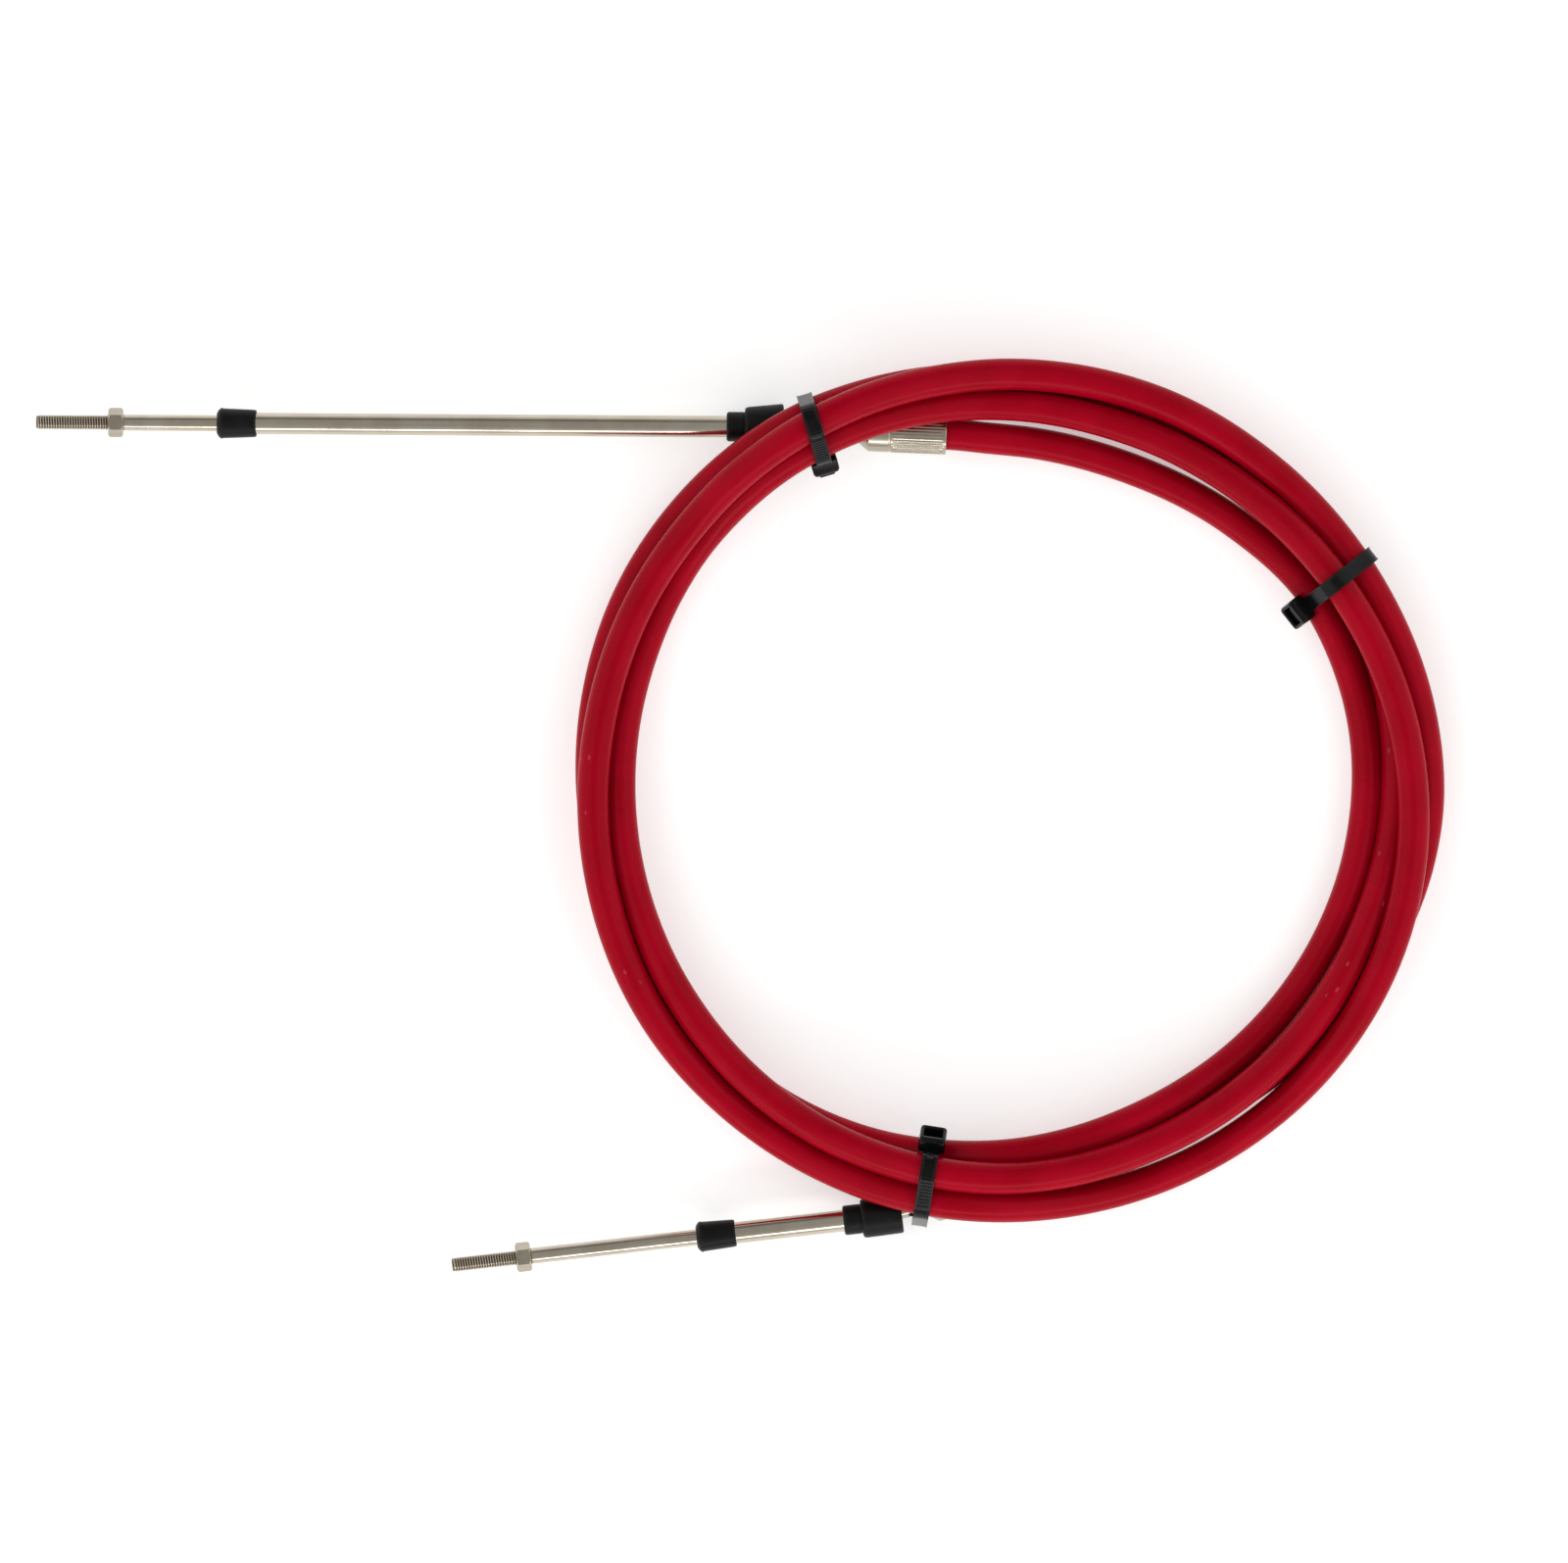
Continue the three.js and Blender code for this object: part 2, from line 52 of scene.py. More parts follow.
# Lay of the conduit: bearing in degrees, clockwise from +Y and running on from turn to turn, then
# offset outside the coil radius and level above the ground, both in cable diameters.
LAY = np.array([
    [-10, -0.96, 0.18], [-4, -1.22, 0.17], [5, -1.40, 0.02], [20, -1.52, 0.02], [40, -1.32, 0.02],
    [60, -0.97, 0.16], [80, -0.99, 0.02], [100, -1.14, 0.02], [120, -1.27, 0.02], [140, -1.31, 0.20],
    [150, -1.30, 0.58], [160, -1.22, 0.74], [170, -1.06, 0.84], [180, -0.86, 0.98], [190, -0.65, 0.60],
    [200, -0.41, 0.12], [210, -0.20, 0.02], [225, 0.08, 0.02], [240, 0.38, 0.02], [260, 0.68, 0.02],
    [280, 0.94, 0.02], [300, 1.14, 0.02], [310, 1.16, 0.26], [320, 1.14, 0.98], [330, 1.06, 1.36],
    [340, 0.90, 0.74], [350, 0.74, 0.14], [360, 0.56, 0.02], [380, 0.31, 0.02], [400, 0.15, 0.02],
    [420, 0.02, 0.16], [435, 0.01, 0.10], [450, -0.13, 0.24], [460, -0.22, 0.36], [470, -0.30, 0.58],
    [480, -0.32, 0.86], [500, -0.34, 1.05], [520, -0.28, 1.14], [530, -0.20, 1.36], [540, -0.12, 1.69],
    [550, -0.08, 1.86], [560, -0.06, 1.46], [570, -0.04, 1.10], [580, -0.06, 1.04], [600, -0.10, 0.92],
    [620, -0.09, 0.67], [640, -0.04, 0.28], [650, 0.00, 0.04], [660, 0.08, 0.02], [670, 0.14, 0.32],
    [680, 0.14, 1.14], [690, 0.10, 1.70], [700, 0.02, 1.42], [710, -0.10, 1.00], [720, -0.22, 0.72],
    [740, -0.38, 0.76], [760, -0.34, 1.06], [780, -0.12, 1.56], [800, 0.20, 1.32], [820, 0.50, 1.02],
    [835, 0.66, 1.04], [850, 0.74, 0.70], [862, 0.76, 0.16], [880, 0.76, 0.04], [890, 0.76, 0.40],
    [900, 0.78, 1.08], [910, 0.82, 1.40], [920, 0.86, 1.04], [930, 0.88, 0.58], [940, 0.90, 0.50],
    [955, 0.94, 0.80], [980, 0.82, 1.14], [1000, 0.72, 1.04], [1020, 0.70, 0.96], [1030, 0.68, 1.26],
    [1040, 0.70, 2.04], [1050, 0.70, 2.52], [1060, 0.72, 2.16], [1070, 0.72, 1.62], [1080, 0.74, 1.16],
    [1100, 0.74, 0.96], [1120, 0.67, 0.92], [1140, 0.70, 0.93], [1160, 0.84, 0.52], [1170, 0.88, 0.20],
    [1180, 0.78, 0.02], [1190, 0.56, 0.02], [1200, 0.26, 0.02], [1210, -0.02, 0.02], [1220, -0.28, 0.02],
    [1230, -0.46, 0.02], [1240, -0.52, 0.02], [1250, -0.46, 0.08], [1255, -0.32, 0.17], [1260, -0.02, 0.18],
])

# Hub, in millimetres. The flutes rise and fade between two places along the barrel.
HUB_RADIUS = 6.35
HUB_RIBBED = 17.6
HUB_BAND = 6.5
NOSE_LENGTH = 4.7
HUB_BARREL = HUB_RIBBED + HUB_BAND
NECK_RADIUS = 2.5
STEM_RADIUS = 1.7
STEM_LENGTH = 0.9
BALL_RADIUS = 2.5
FLUTES = 40
FLUTE_DEPTH = 0.13
FLUTES_RISE = (0.35, 1.1)
FLUTES_FADE = (16.3, 17.1)

# Sleeve, rod, thread and nut, in millimetres
SLEEVE_RADIUS = 3.35
SLEEVE_BORE = 2.8
SLEEVE_OVER_BALL = 1.2
ROD_RADIUS = 2.5
THREAD_RADIUS = 2.45
THREAD_PITCH = 0.8
THREAD_DEPTH = 0.46
THREAD_RUN_IN = 1.0
TIP_RADIUS = 1.65
TIP_CHAMFER = 1.5
NUT_FLATS = 8
NUT_THICKNESS = 4.7
NUT_GAP = 0.3
NUT_CHAMFER = 1.1
NUT_FACE_RADIUS = 3.55
NUT_BORE = 2.52
NUT_COUNTERSINK = 3.0

# Boot and seal, in millimetres
BOOT_PAST_BALL = 6.2
BOOT_STEP = 6.2
BOOT_END = 12.0
BOOT_COLLAR_RADIUS = 4.6
BOOT_SKIRT_RADIUS = 6.1
BOOT_WALL = 1.1
SEAL_LENGTH = 12.3
SEAL_OVER_SLEEVE = 8.7
SEAL_RIM_FADE = 2.4

# Ties, in millimetres
STRAP_WIDTH = 4.8
STRAP_THICKNESS = 1.25
STRAP_CLEARANCE = 0.15
TOOTH_PITCH = 1.15
HEAD_WIDTH = 8.4
HEAD_LENGTH = 8.2
HEAD_DEPTH = 5.4
HEAD_LIFT = 0.2

# The two ends: lengths of the neck, the sleeve between boot and seal, the rod that shows, the rod
# inside and the thread, in millimetres; the swing of the sleeve on the ball and the lean of the
# boot's skirt, in degrees; and how far the seal's rear rim is out of true, in millimetres.
ENDS = [
    {"name": "1", "neck": 27.3, "swing": 1.9, "sleeve": 145.5, "rod": 28.6, "inside": 90, "thread": 27.3,
     "skirt_tilt": 5.6, "rim_cut": 0.35},
    {"name": "2", "neck": 12.1, "swing": -9.1, "sleeve": 33.5, "rod": 51.2, "inside": 19.5, "thread": 24.9,
     "skirt_tilt": 0.8, "rim_cut": 0.1},
]

# The three ties: bearing and skew of the plane, where the head sits as seen from the middle of the
# outline, and the way it faces, in degrees; the end whose neck it also holds; how far the head has
# slid along the strap and how far the cut tail stands out of it, in millimetres; on which side of
# the head the strap has its teeth; and how far along the strap the ejector mark is, in millimetres.
TIES = [
    {"name": "1", "bearing": -29, "askew": 12.6, "head_from": 178, "head_angle": 214, "neck_of": 0,
     "slide": 3.2, "tail": 2.0, "side": -1, "mark": None},
    {"name": "2", "bearing": 57.5, "askew": -5.7, "head_from": 198, "head_angle": 151, "neck_of": None,
     "slide": 0.0, "tail": -1.2, "side": 1, "mark": None},
    {"name": "3", "bearing": 192.1, "askew": -3.4, "head_from": 160, "head_angle": 145, "neck_of": 1,
     "slide": 0.0, "tail": -1.6, "side": -1, "mark": -9.4},
]

# Camera: straight above, with a long lens, framing the picture's own field, in metres
PHOTO_WIDTH = 0.48485
LENS = 500
SENSOR = 36
VIEW_HEIGHT = 0.015
VIEW_OFFSET = (-0.0697, 0.00258)

# Floor, in metres, and lights. The strip's edge is where, as a share of X, its dim light gives way to
# the bright side.
FLOOR_HALF = 8.0
FLOOR_LEVEL = -0.0003
FLOOR_GLOW = 0.42
SIDE_LIGHT = (1.15, 1.15, 1.14, 1)
STRIP_EDGE = (0.2, 0.5)
SOFTBOX_PLACE = (0.1, -1.5, 0.85)
SOFTBOX_SIZE = (3.0, 0.25)
SOFTBOX_WATTS = 12

# How finely the shapes are sampled: counts of points, and the thread's step in millimetres
ROUTE_STEPS = 1361
TAIL_STEPS = 6
CABLE_SIDES = 40
HUB_SIDES = 400
RUBBER_SIDES = 72
NUT_SIDES = 96
THREAD_STEP = 0.055
LOOP_POINTS = 420
CORNER_STEPS = 4


def make_camera(x, y):
    """Looks straight down on a point, with +Y at the top of the picture."""
    data = bpy.data.cameras.new("camera")
    data.lens = LENS
    data.sensor_width = SENSOR
    distance = PHOTO_WIDTH * LENS / SENSOR
    data.clip_start = 0.1
    data.clip_end = 100
    camera = bpy.data.objects.new("camera", data)
    camera.location = (x, y, VIEW_HEIGHT + distance)
    bpy.context.scene.collection.objects.link(camera)
    bpy.context.scene.camera = camera


# Surfaces

def mesh_piece(name, points, skin, faces, material, smooth_angle=38):
    """A closed mesh from arrays. Its faces are turned round if they enclose a negative volume."""
    volume = 0.0
    for block in faces:
        first = points[block[:, 0]]
        for k in range(1, block.shape[1] - 1):
            volume += np.einsum("ij,ij->", first, np.cross(points[block[:, k]], points[block[:, k + 1]]))
    order = slice(None, None, -1) if volume < 0 else slice(None)
    mesh = bpy.data.meshes.new(name)
    mesh.from_pydata(points.tolist(), [], [f for block in faces for f in block[:, order].tolist()])
    skin_layer = mesh.attributes.new("skin", "FLOAT_VECTOR", "POINT")
    skin_layer.data.foreach_set("vector", np.asarray(skin, np.float32).ravel())
    mesh.polygons.foreach_set("use_smooth", np.ones(len(mesh.polygons), bool))
    mesh.set_sharp_from_angle(angle=math.radians(smooth_angle))
    mesh.materials.append(material)
    mesh.update()
    piece = bpy.data.objects.new(name, mesh)
    bpy.context.scene.collection.objects.link(piece)
    return piece


def grid_piece(name, grid, skin, material, ring=False, smooth_angle=38):
    """A surface of rows and columns, closed round its columns. Its rows close on themselves where
    ring is true, and otherwise each end row is closed by a fan to its own middle."""
    rows, columns = grid.shape[:2]
    index = np.arange(rows * columns).reshape(rows, columns)
    beside = np.roll(index, -1, axis=1)
    if ring:
        ahead, ahead_beside = np.roll(index, -1, axis=0), np.roll(beside, -1, axis=0)
        faces = [np.stack([index, beside, ahead_beside, ahead], -1).reshape(-1, 4)]
        points, skins = grid.reshape(-1, 3), skin.reshape(-1, 3)
    else:
        faces = [np.stack([index[:-1], beside[:-1], beside[1:], index[1:]], -1).reshape(-1, 4)]
        middle = rows * columns
        first = np.stack([beside[0], index[0], np.full(columns, middle)], -1)
        last = np.stack([index[-1], beside[-1], np.full(columns, middle + 1)], -1)
        faces.append(np.concatenate([first, last]))
        points = np.concatenate([grid.reshape(-1, 3), [grid[0].mean(0), grid[-1].mean(0)]])
        skins = np.concatenate([skin.reshape(-1, 3), [skin[0].mean(0), skin[-1].mean(0)]])
    return mesh_piece(name, points, skins, faces, material, smooth_angle)


def eased(rows, radius, steps=4, closed=False):
    """The rows of a profile with each corner eased by a curve of that radius: points of a quadratic
    curve from one side to the other, with a support point a little way along each straight side.
    A corner's curve reaches over at most 0.35 of each side."""
    rows = np.asarray(rows, float)
    count = len(rows)
    out = []
    for k in range(count):
        if not closed and k in (0, count - 1):
            out.append(rows[k][None])
            continue
        here, before, after = rows[k], rows[k - 1], rows[(k + 1) % count]
        back, on = before - here, after - here
        reach = min(radius, 0.35 * np.hypot(*back), 0.35 * np.hypot(*on))
        a, b = here + back / np.hypot(*back) * reach, here + on / np.hypot(*on) * reach
        t = np.linspace(0, 1, steps + 1)[:, None]
        curve = (1 - t) ** 2 * a + 2 * t * (1 - t) * here + t ** 2 * b
        support = 0.25 * reach
        out += [(a + back / np.hypot(*back) * support)[None], curve,
                (b + on / np.hypot(*on) * support)[None]]
    return np.concatenate(out)


def turned_grid(along, radius, angle):
    """Points round the local X axis: (along, radius x cos angle, radius x sin angle)."""
    along = np.broadcast_to(along, radius.shape)
    return np.stack([along, radius * np.cos(angle), radius * np.sin(angle)], -1)


def placed(grid, origin, heading):
    """Local millimetres to the row frame in metres: X along the level heading, Z up."""
    ahead = np.array([heading[0], heading[1], 0.0])
    left = np.array([-heading[1], heading[0], 0.0])
    world = grid[..., 0:1] * ahead + grid[..., 1:2] * left + grid[..., 2:3] * np.array([0.0, 0.0, 1.0])
    return (world + origin) * MM


# Route of the conduit

def lay_curve(column, bearing):
    """One column of the lay at each bearing: a cubic from row to row, level at each high and low
    row, and otherwise with the mean slope of its two sides."""
    knots, values = LAY[:, 0], LAY[:, column]
    gap = np.diff(knots)
    slope = np.diff(values) / gap
    tangent = np.zeros(len(knots))
    tangent[0], tangent[-1] = slope[0], slope[-1]
    mean = (slope[:-1] * gap[1:] + slope[1:] * gap[:-1]) / (gap[:-1] + gap[1:])
    tangent[1:-1] = np.where(slope[:-1] * slope[1:] <= 0, 0, mean)
    i = np.clip(np.searchsorted(knots, bearing, side="right") - 1, 0, len(knots) - 2)
    t = (bearing - knots[i]) / gap[i]
    return ((1 + 2 * t) * (1 - t) ** 2 * values[i] + t * (1 - t) ** 2 * gap[i] * tangent[i]
            + t * t * (3 - 2 * t) * values[i + 1] + t * t * (t - 1) * gap[i] * tangent[i + 1])


def coil_point(bearing):
    """The centre line at each bearing, in millimetres from the coil's middle."""
    bearing = np.atleast_1d(np.asarray(bearing, float))
    radius = COIL_RADIUS + CABLE_DIAMETER * lay_curve(1, bearing)
    height = CABLE_DIAMETER * (0.5 + lay_curve(2, bearing))
    angle = np.radians(bearing)
    return np.stack([radius * np.sin(angle), radius * np.cos(angle), height], -1)


FIRST, LAST = LAY[0, 0], LAY[-1, 0]


def mouth_of(index):
    """A hub's mouth and the level direction in which the conduit leaves the coil there."""
    bearing, inside = (FIRST, FIRST + 0.01) if index == 0 else (LAST, LAST - 0.01)
    mouth = coil_point(bearing)[0]
    step = (mouth - coil_point(inside)[0])[:2]
    return mouth, step / np.hypot(*step)


def turn_level(heading, degrees):
    """A level direction turned about +Z."""
    c, s = math.cos(math.radians(degrees)), math.sin(math.radians(degrees))
    return np.array([c * heading[0] - s * heading[1], s * heading[0] + c * heading[1]])


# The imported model's swivel says where the coil's middle stands in the row frame.
swing_1 = next(j for j in frame["joints"] if j["name"] == "swing_1")
first_mouth, first_heading = mouth_of(0)
first_reach = HUB_BARREL + NOSE_LENGTH + ENDS[0]["neck"]
first_swivel = first_mouth + np.append(first_heading, 0) * first_reach
SHIFT = np.array(swing_1["pos_m"]) / MM - first_swivel

line = coil_point(np.linspace(FIRST, LAST, ROUTE_STEPS))
tail_steps = np.linspace(SOCKET_DEPTH, 0, TAIL_STEPS, endpoint=False)[:, None]
first_tail = first_mouth + tail_steps * np.append(first_heading, 0)
last_mouth, last_heading = mouth_of(1)
last_tail = (last_mouth + tail_steps * np.append(last_heading, 0))[::-1]
line = np.concatenate([first_tail, line, last_tail]) + SHIFT

make_camera(SHIFT[0] * MM + VIEW_OFFSET[0], SHIFT[1] * MM + VIEW_OFFSET[1])


# Finishes

def new_group(name, inputs, outputs):
    """An empty shader group with named sockets."""
    group = bpy.data.node_groups.new(name, "ShaderNodeTree")
    for label, kind, value in inputs:
        socket = group.interface.new_socket(label, in_out="INPUT", socket_type=kind)
        if value is not None:
            socket.default_value = value
    for label, kind in outputs:
        group.interface.new_socket(label, in_out="OUTPUT", socket_type=kind)
    return group, group.nodes.new("NodeGroupInput"), group.nodes.new("NodeGroupOutput")


def node(tree, kind, settings=None, **sockets):
    """A node with its settings, and its sockets by name or number: a value, or a socket to link."""
    made = tree.nodes.new(kind)
    for key, value in (settings or {}).items():
        setattr(made, key, value)
    for key, value in sockets.items():
        place = int(key[1:]) if key[0] == "_" else key.replace("_", " ")
        link_or_set(tree, made.inputs[place], value)
    return made


def link_or_set(tree, socket, value):
    """Links a socket to another one, or gives it a plain value."""
    if isinstance(value, bpy.types.NodeSocket):
        tree.links.new(value, socket)
    else:
        socket.default_value = value


def math_node(tree, operation, a, b=0.0):
    """One step of arithmetic on values or sockets."""
    return node(tree, "ShaderNodeMath", {"operation": operation}, _0=a, _1=b).outputs[0]


def ramp_node(tree, factor, low, high, to_low=0.0, to_high=1.0):
    """A smooth step of factor from low to high, mapped to another range."""
    made = node(tree, "ShaderNodeMapRange", {"interpolation_type": "SMOOTHSTEP"}, Value=factor)
    for label, value in (("From Min", low), ("From Max", high), ("To Min", to_low), ("To Max", to_high)):
        link_or_set(tree, made.inputs[label], value)
    return made.outputs[0]


def colour_mix(tree, factor, a, b):
    """A colour between a and b. In a Mix node, inputs 6 and 7 and output 2 are the colour sockets."""
    return node(tree, "ShaderNodeMix", {"data_type": "RGBA"}, _0=factor, _6=a, _7=b).outputs[2]


def build_lines_group():
    """Fine lines along a drawn, turned or extruded piece: noise stretched by a share along X."""
    group, into, out = new_group(
        "drawn lines",
        [("Skin", "NodeSocketVector", None), ("Fineness", "NodeSocketFloat", 4000.0),
         ("Stretch", "NodeSocketFloat", 0.02)],
        [("Lines", "NodeSocketFloat")])
    stretch = node(group, "ShaderNodeCombineXYZ", Y=1.0, Z=1.0, X=into.outputs["Stretch"])
    drawn = node(group, "ShaderNodeVectorMath", {"operation": "MULTIPLY"}, _0=into.outputs["Skin"],
                 _1=stretch.outputs[0])
    fine = node(group, "ShaderNodeTexNoise", Vector=drawn.outputs[0], Scale=into.outputs["Fineness"],
                Detail=3.0, Roughness=0.6)
    group.links.new(ramp_node(group, fine.outputs["Fac"], 0.3, 0.7), out.inputs["Lines"])
    return group


def build_mottle_group():
    """Slow unevenness of tone over a surface, from large noise with a little fine noise in it."""
    group, into, out = new_group(
        "mottle",
        [("Skin", "NodeSocketVector", None), ("Size", "NodeSocketFloat", 60.0)],
        [("Mottle", "NodeSocketFloat"), ("Grain", "NodeSocketFloat")])
    slow = node(group, "ShaderNodeTexNoise", Vector=into.outputs["Skin"], Scale=into.outputs["Size"],
                Detail=4.0, Roughness=0.55)
    fine_scale = math_node(group, "MULTIPLY", into.outputs["Size"], 38.0)
    fine = node(group, "ShaderNodeTexNoise", Vector=into.outputs["Skin"], Scale=fine_scale,
                Detail=2.0, Roughness=0.5)
    group.links.new(ramp_node(group, slow.outputs["Fac"], 0.32, 0.68), out.inputs["Mottle"])
    group.links.new(fine.outputs["Fac"], out.inputs["Grain"])
    return group


def build_specks_group():
    """Scattered specks and short scuffs: cells of a Voronoi pattern, kept where a slow noise is
    high, each a small dot at its cell's middle."""
    group, into, out = new_group(
        "specks",
        [("Skin", "NodeSocketVector", None), ("Density", "NodeSocketFloat", 300.0),
         ("Dot", "NodeSocketFloat", 0.12), ("Amount", "NodeSocketFloat", 0.62)],
        [("Specks", "NodeSocketFloat")])
    stretch = node(group, "ShaderNodeVectorMath", {"operation": "MULTIPLY"}, _0=into.outputs["Skin"],
                   _1=(0.55, 1.0, 1.0))
    cells = node(group, "ShaderNodeTexVoronoi", {"feature": "F1"}, Vector=stretch.outputs[0],
                 Scale=into.outputs["Density"], Randomness=1.0)
    inner = math_node(group, "MULTIPLY", into.outputs["Dot"], 0.35)
    dots = ramp_node(group, cells.outputs["Distance"], inner, into.outputs["Dot"], 1.0, 0.0)
    keep = node(group, "ShaderNodeTexNoise", Vector=cells.outputs["Position"], Scale=3.1, Detail=0.0)
    shown = math_node(group, "GREATER_THAN", keep.outputs["Fac"], into.outputs["Amount"])
    group.links.new(math_node(group, "MULTIPLY", dots, shown), out.inputs["Specks"])
    return group


LINES = build_lines_group()
MOTTLE = build_mottle_group()
SPECKS = build_specks_group()


def effect(tree, group, skin, **values):
    """One of the shared groups in a material, with its own values."""
    made = tree.nodes.new("ShaderNodeGroup")
    made.node_tree = group
    tree.links.new(skin, made.inputs["Skin"])
    for key, value in values.items():
        made.inputs[key].default_value = value
    return made


def new_finish(name, metallic, **sockets):
    """A material with its Principled shader, and the piece's own skin coordinates."""
    material = bpy.data.materials.new(name)
    material.use_nodes = True
    tree = material.node_tree
    shader = tree.nodes["Principled BSDF"]
    shader.inputs["Metallic"].default_value = metallic
    for key, value in sockets.items():
        shader.inputs[key.replace("_", " ")].default_value = value
    skin = node(tree, "ShaderNodeAttribute", {"attribute_name": "skin"}).outputs["Vector"]
    return material, tree, shader, skin


def bump(tree, shader, height, distance):
    """Relief of a height between 0 and about 1, times a distance in metres."""
    made = node(tree, "ShaderNodeBump", Height=height, Strength=1.0, Distance=distance)
    tree.links.new(made.outputs[0], shader.inputs["Normal"])


def share_of(tree, value, amount):
    """A mask or a height times a plain amount."""
    return math_node(tree, "MULTIPLY", value, amount)


def darker(colour, share):
    """An opaque colour at a share of its brightness."""
    return tuple(share * c for c in colour[:3]) + (1,)


def jacket_finish():
    """Satin extruded jacket: deep red with slow unevenness, faint extrusion lines and pale specks."""
    material, tree, shader, skin = new_finish("red jacket", 0.0, Specular_IOR_Level=0.06)
    mottle = effect(tree, MOTTLE, skin, Size=55.0)
    lines = effect(tree, LINES, skin, Fineness=900.0, Stretch=0.012)
    specks = effect(tree, SPECKS, skin, Density=260.0, Dot=0.16, Amount=0.63)
    tone = colour_mix(tree, mottle.outputs["Mottle"], (0.315, 0.0, 0.0085, 1), (0.375, 0.0, 0.0125, 1))
    lined = colour_mix(tree, share_of(tree, lines.outputs["Lines"], 0.25), tone, (0.255, 0.0, 0.0075, 1))
    marked = colour_mix(tree, share_of(tree, specks.outputs["Specks"], 0.22), lined, (0.60, 0.16, 0.15, 1))
    tree.links.new(marked, shader.inputs["Base Color"])
    dull = share_of(tree, lines.outputs["Lines"], 0.06)
    rough = math_node(tree, "ADD", ramp_node(tree, mottle.outputs["Mottle"], 0, 1, 0.22, 0.3), dull)
    tree.links.new(rough, shader.inputs["Roughness"])
    height = math_node(tree, "ADD", share_of(tree, mottle.outputs["Grain"], 0.5),
                       share_of(tree, lines.outputs["Lines"], 0.35))
    raised = math_node(tree, "ADD", height, specks.outputs["Specks"])
    bump(tree, shader, raised, 0.000012)
    return material


def metal_finish(name, dark, light, rough_low, rough_high, fineness, line_depth):
    """Bare metal: a warm grey with lines along its length, slow cloudiness and small nicks, and
    painted shade in dark brown where the radius is less than the thread's crest."""
    material, tree, shader, skin = new_finish(name, 1.0)
    mottle = effect(tree, MOTTLE, skin, Size=120.0)
    lines = effect(tree, LINES, skin, Fineness=fineness, Stretch=0.01)
    specks = effect(tree, SPECKS, skin, Density=420.0, Dot=0.14, Amount=0.64)
    tone = colour_mix(tree, mottle.outputs["Mottle"], dark, light)
    lined = colour_mix(tree, share_of(tree, lines.outputs["Lines"], 0.35), tone, darker(dark, 0.78))
    nicked = colour_mix(tree, share_of(tree, specks.outputs["Specks"], 0.35), lined, darker(dark, 0.55))
    across = node(tree, "ShaderNodeVectorMath", {"operation": "MULTIPLY"}, _0=skin, _1=(0.0, 1.0, 1.0))
    length = node(tree, "ShaderNodeVectorMath", {"operation": "LENGTH"}, _0=across.outputs[0])
    thread_root, near_crest = (THREAD_RADIUS - THREAD_DEPTH) * MM, (THREAD_RADIUS - 0.06) * MM
    # Painted shade: dark brown laid into the thread's roots, strongest at the root and gone near the crest.
    painted_root_shade = ramp_node(tree, length.outputs["Value"], thread_root, near_crest, 0.85, 0.0)
    root_shaded_colour = colour_mix(tree, painted_root_shade, nicked, (0.09, 0.07, 0.045, 1))
    tree.links.new(root_shaded_colour, shader.inputs["Base Color"])
    base = ramp_node(tree, mottle.outputs["Mottle"], 0, 1, rough_low, rough_high)
    rough = math_node(tree, "ADD", base, share_of(tree, lines.outputs["Lines"], 0.05))
    tree.links.new(rough, shader.inputs["Roughness"])
    nicks = share_of(tree, specks.outputs["Specks"], 1.5)
    bump(tree, shader, math_node(tree, "SUBTRACT", lines.outputs["Lines"], nicks), line_depth)
    return material


def black_finish(name, dark, light, rough_low, rough_high, grain, dust):
    """Moulded black rubber or nylon: a fine grain, uneven sheen and a little dust."""
    material, tree, shader, skin = new_finish(name, 0.0, Specular_IOR_Level=0.15)
    mottle = effect(tree, MOTTLE, skin, Size=140.0)
    specks = effect(tree, SPECKS, skin, Density=700.0, Dot=0.2, Amount=0.6)
    tone = colour_mix(tree, mottle.outputs["Mottle"], dark, light)
    dusty = colour_mix(tree, share_of(tree, specks.outputs["Specks"], dust), tone, (0.14, 0.135, 0.125, 1))
    tree.links.new(dusty, shader.inputs["Base Color"])
    tree.links.new(ramp_node(tree, mottle.outputs["Mottle"], 0, 1, rough_low, rough_high),
                   shader.inputs["Roughness"])
    height = math_node(tree, "ADD", mottle.outputs["Grain"], share_of(tree, mottle.outputs["Mottle"], 0.6))
    bump(tree, shader, height, grain)
    return material


JACKET = jacket_finish()
STAINLESS = metal_finish("bright stainless", dark=(0.55, 0.485, 0.39, 1), light=(0.61, 0.55, 0.455, 1),
                         rough_low=0.1, rough_high=0.15, fineness=2600.0, line_depth=0.0000015)
STEEL = metal_finish("plated steel", dark=(0.43, 0.385, 0.305, 1), light=(0.48, 0.435, 0.355, 1),
                     rough_low=0.18, rough_high=0.23, fineness=1800.0, line_depth=0.0000015)
RUBBER = black_finish("black rubber", dark=(0.0025, 0.0025, 0.0026, 1), light=(0.005, 0.005, 0.0052, 1),
                      rough_low=0.4, rough_high=0.5, grain=0.00002, dust=0.25)
NYLON = black_finish("black nylon", dark=(0.0025, 0.0026, 0.0028, 1), light=(0.005, 0.0052, 0.0055, 1),
                     rough_low=0.11, rough_high=0.2, grain=0.000012, dust=0.1)


# Conduit

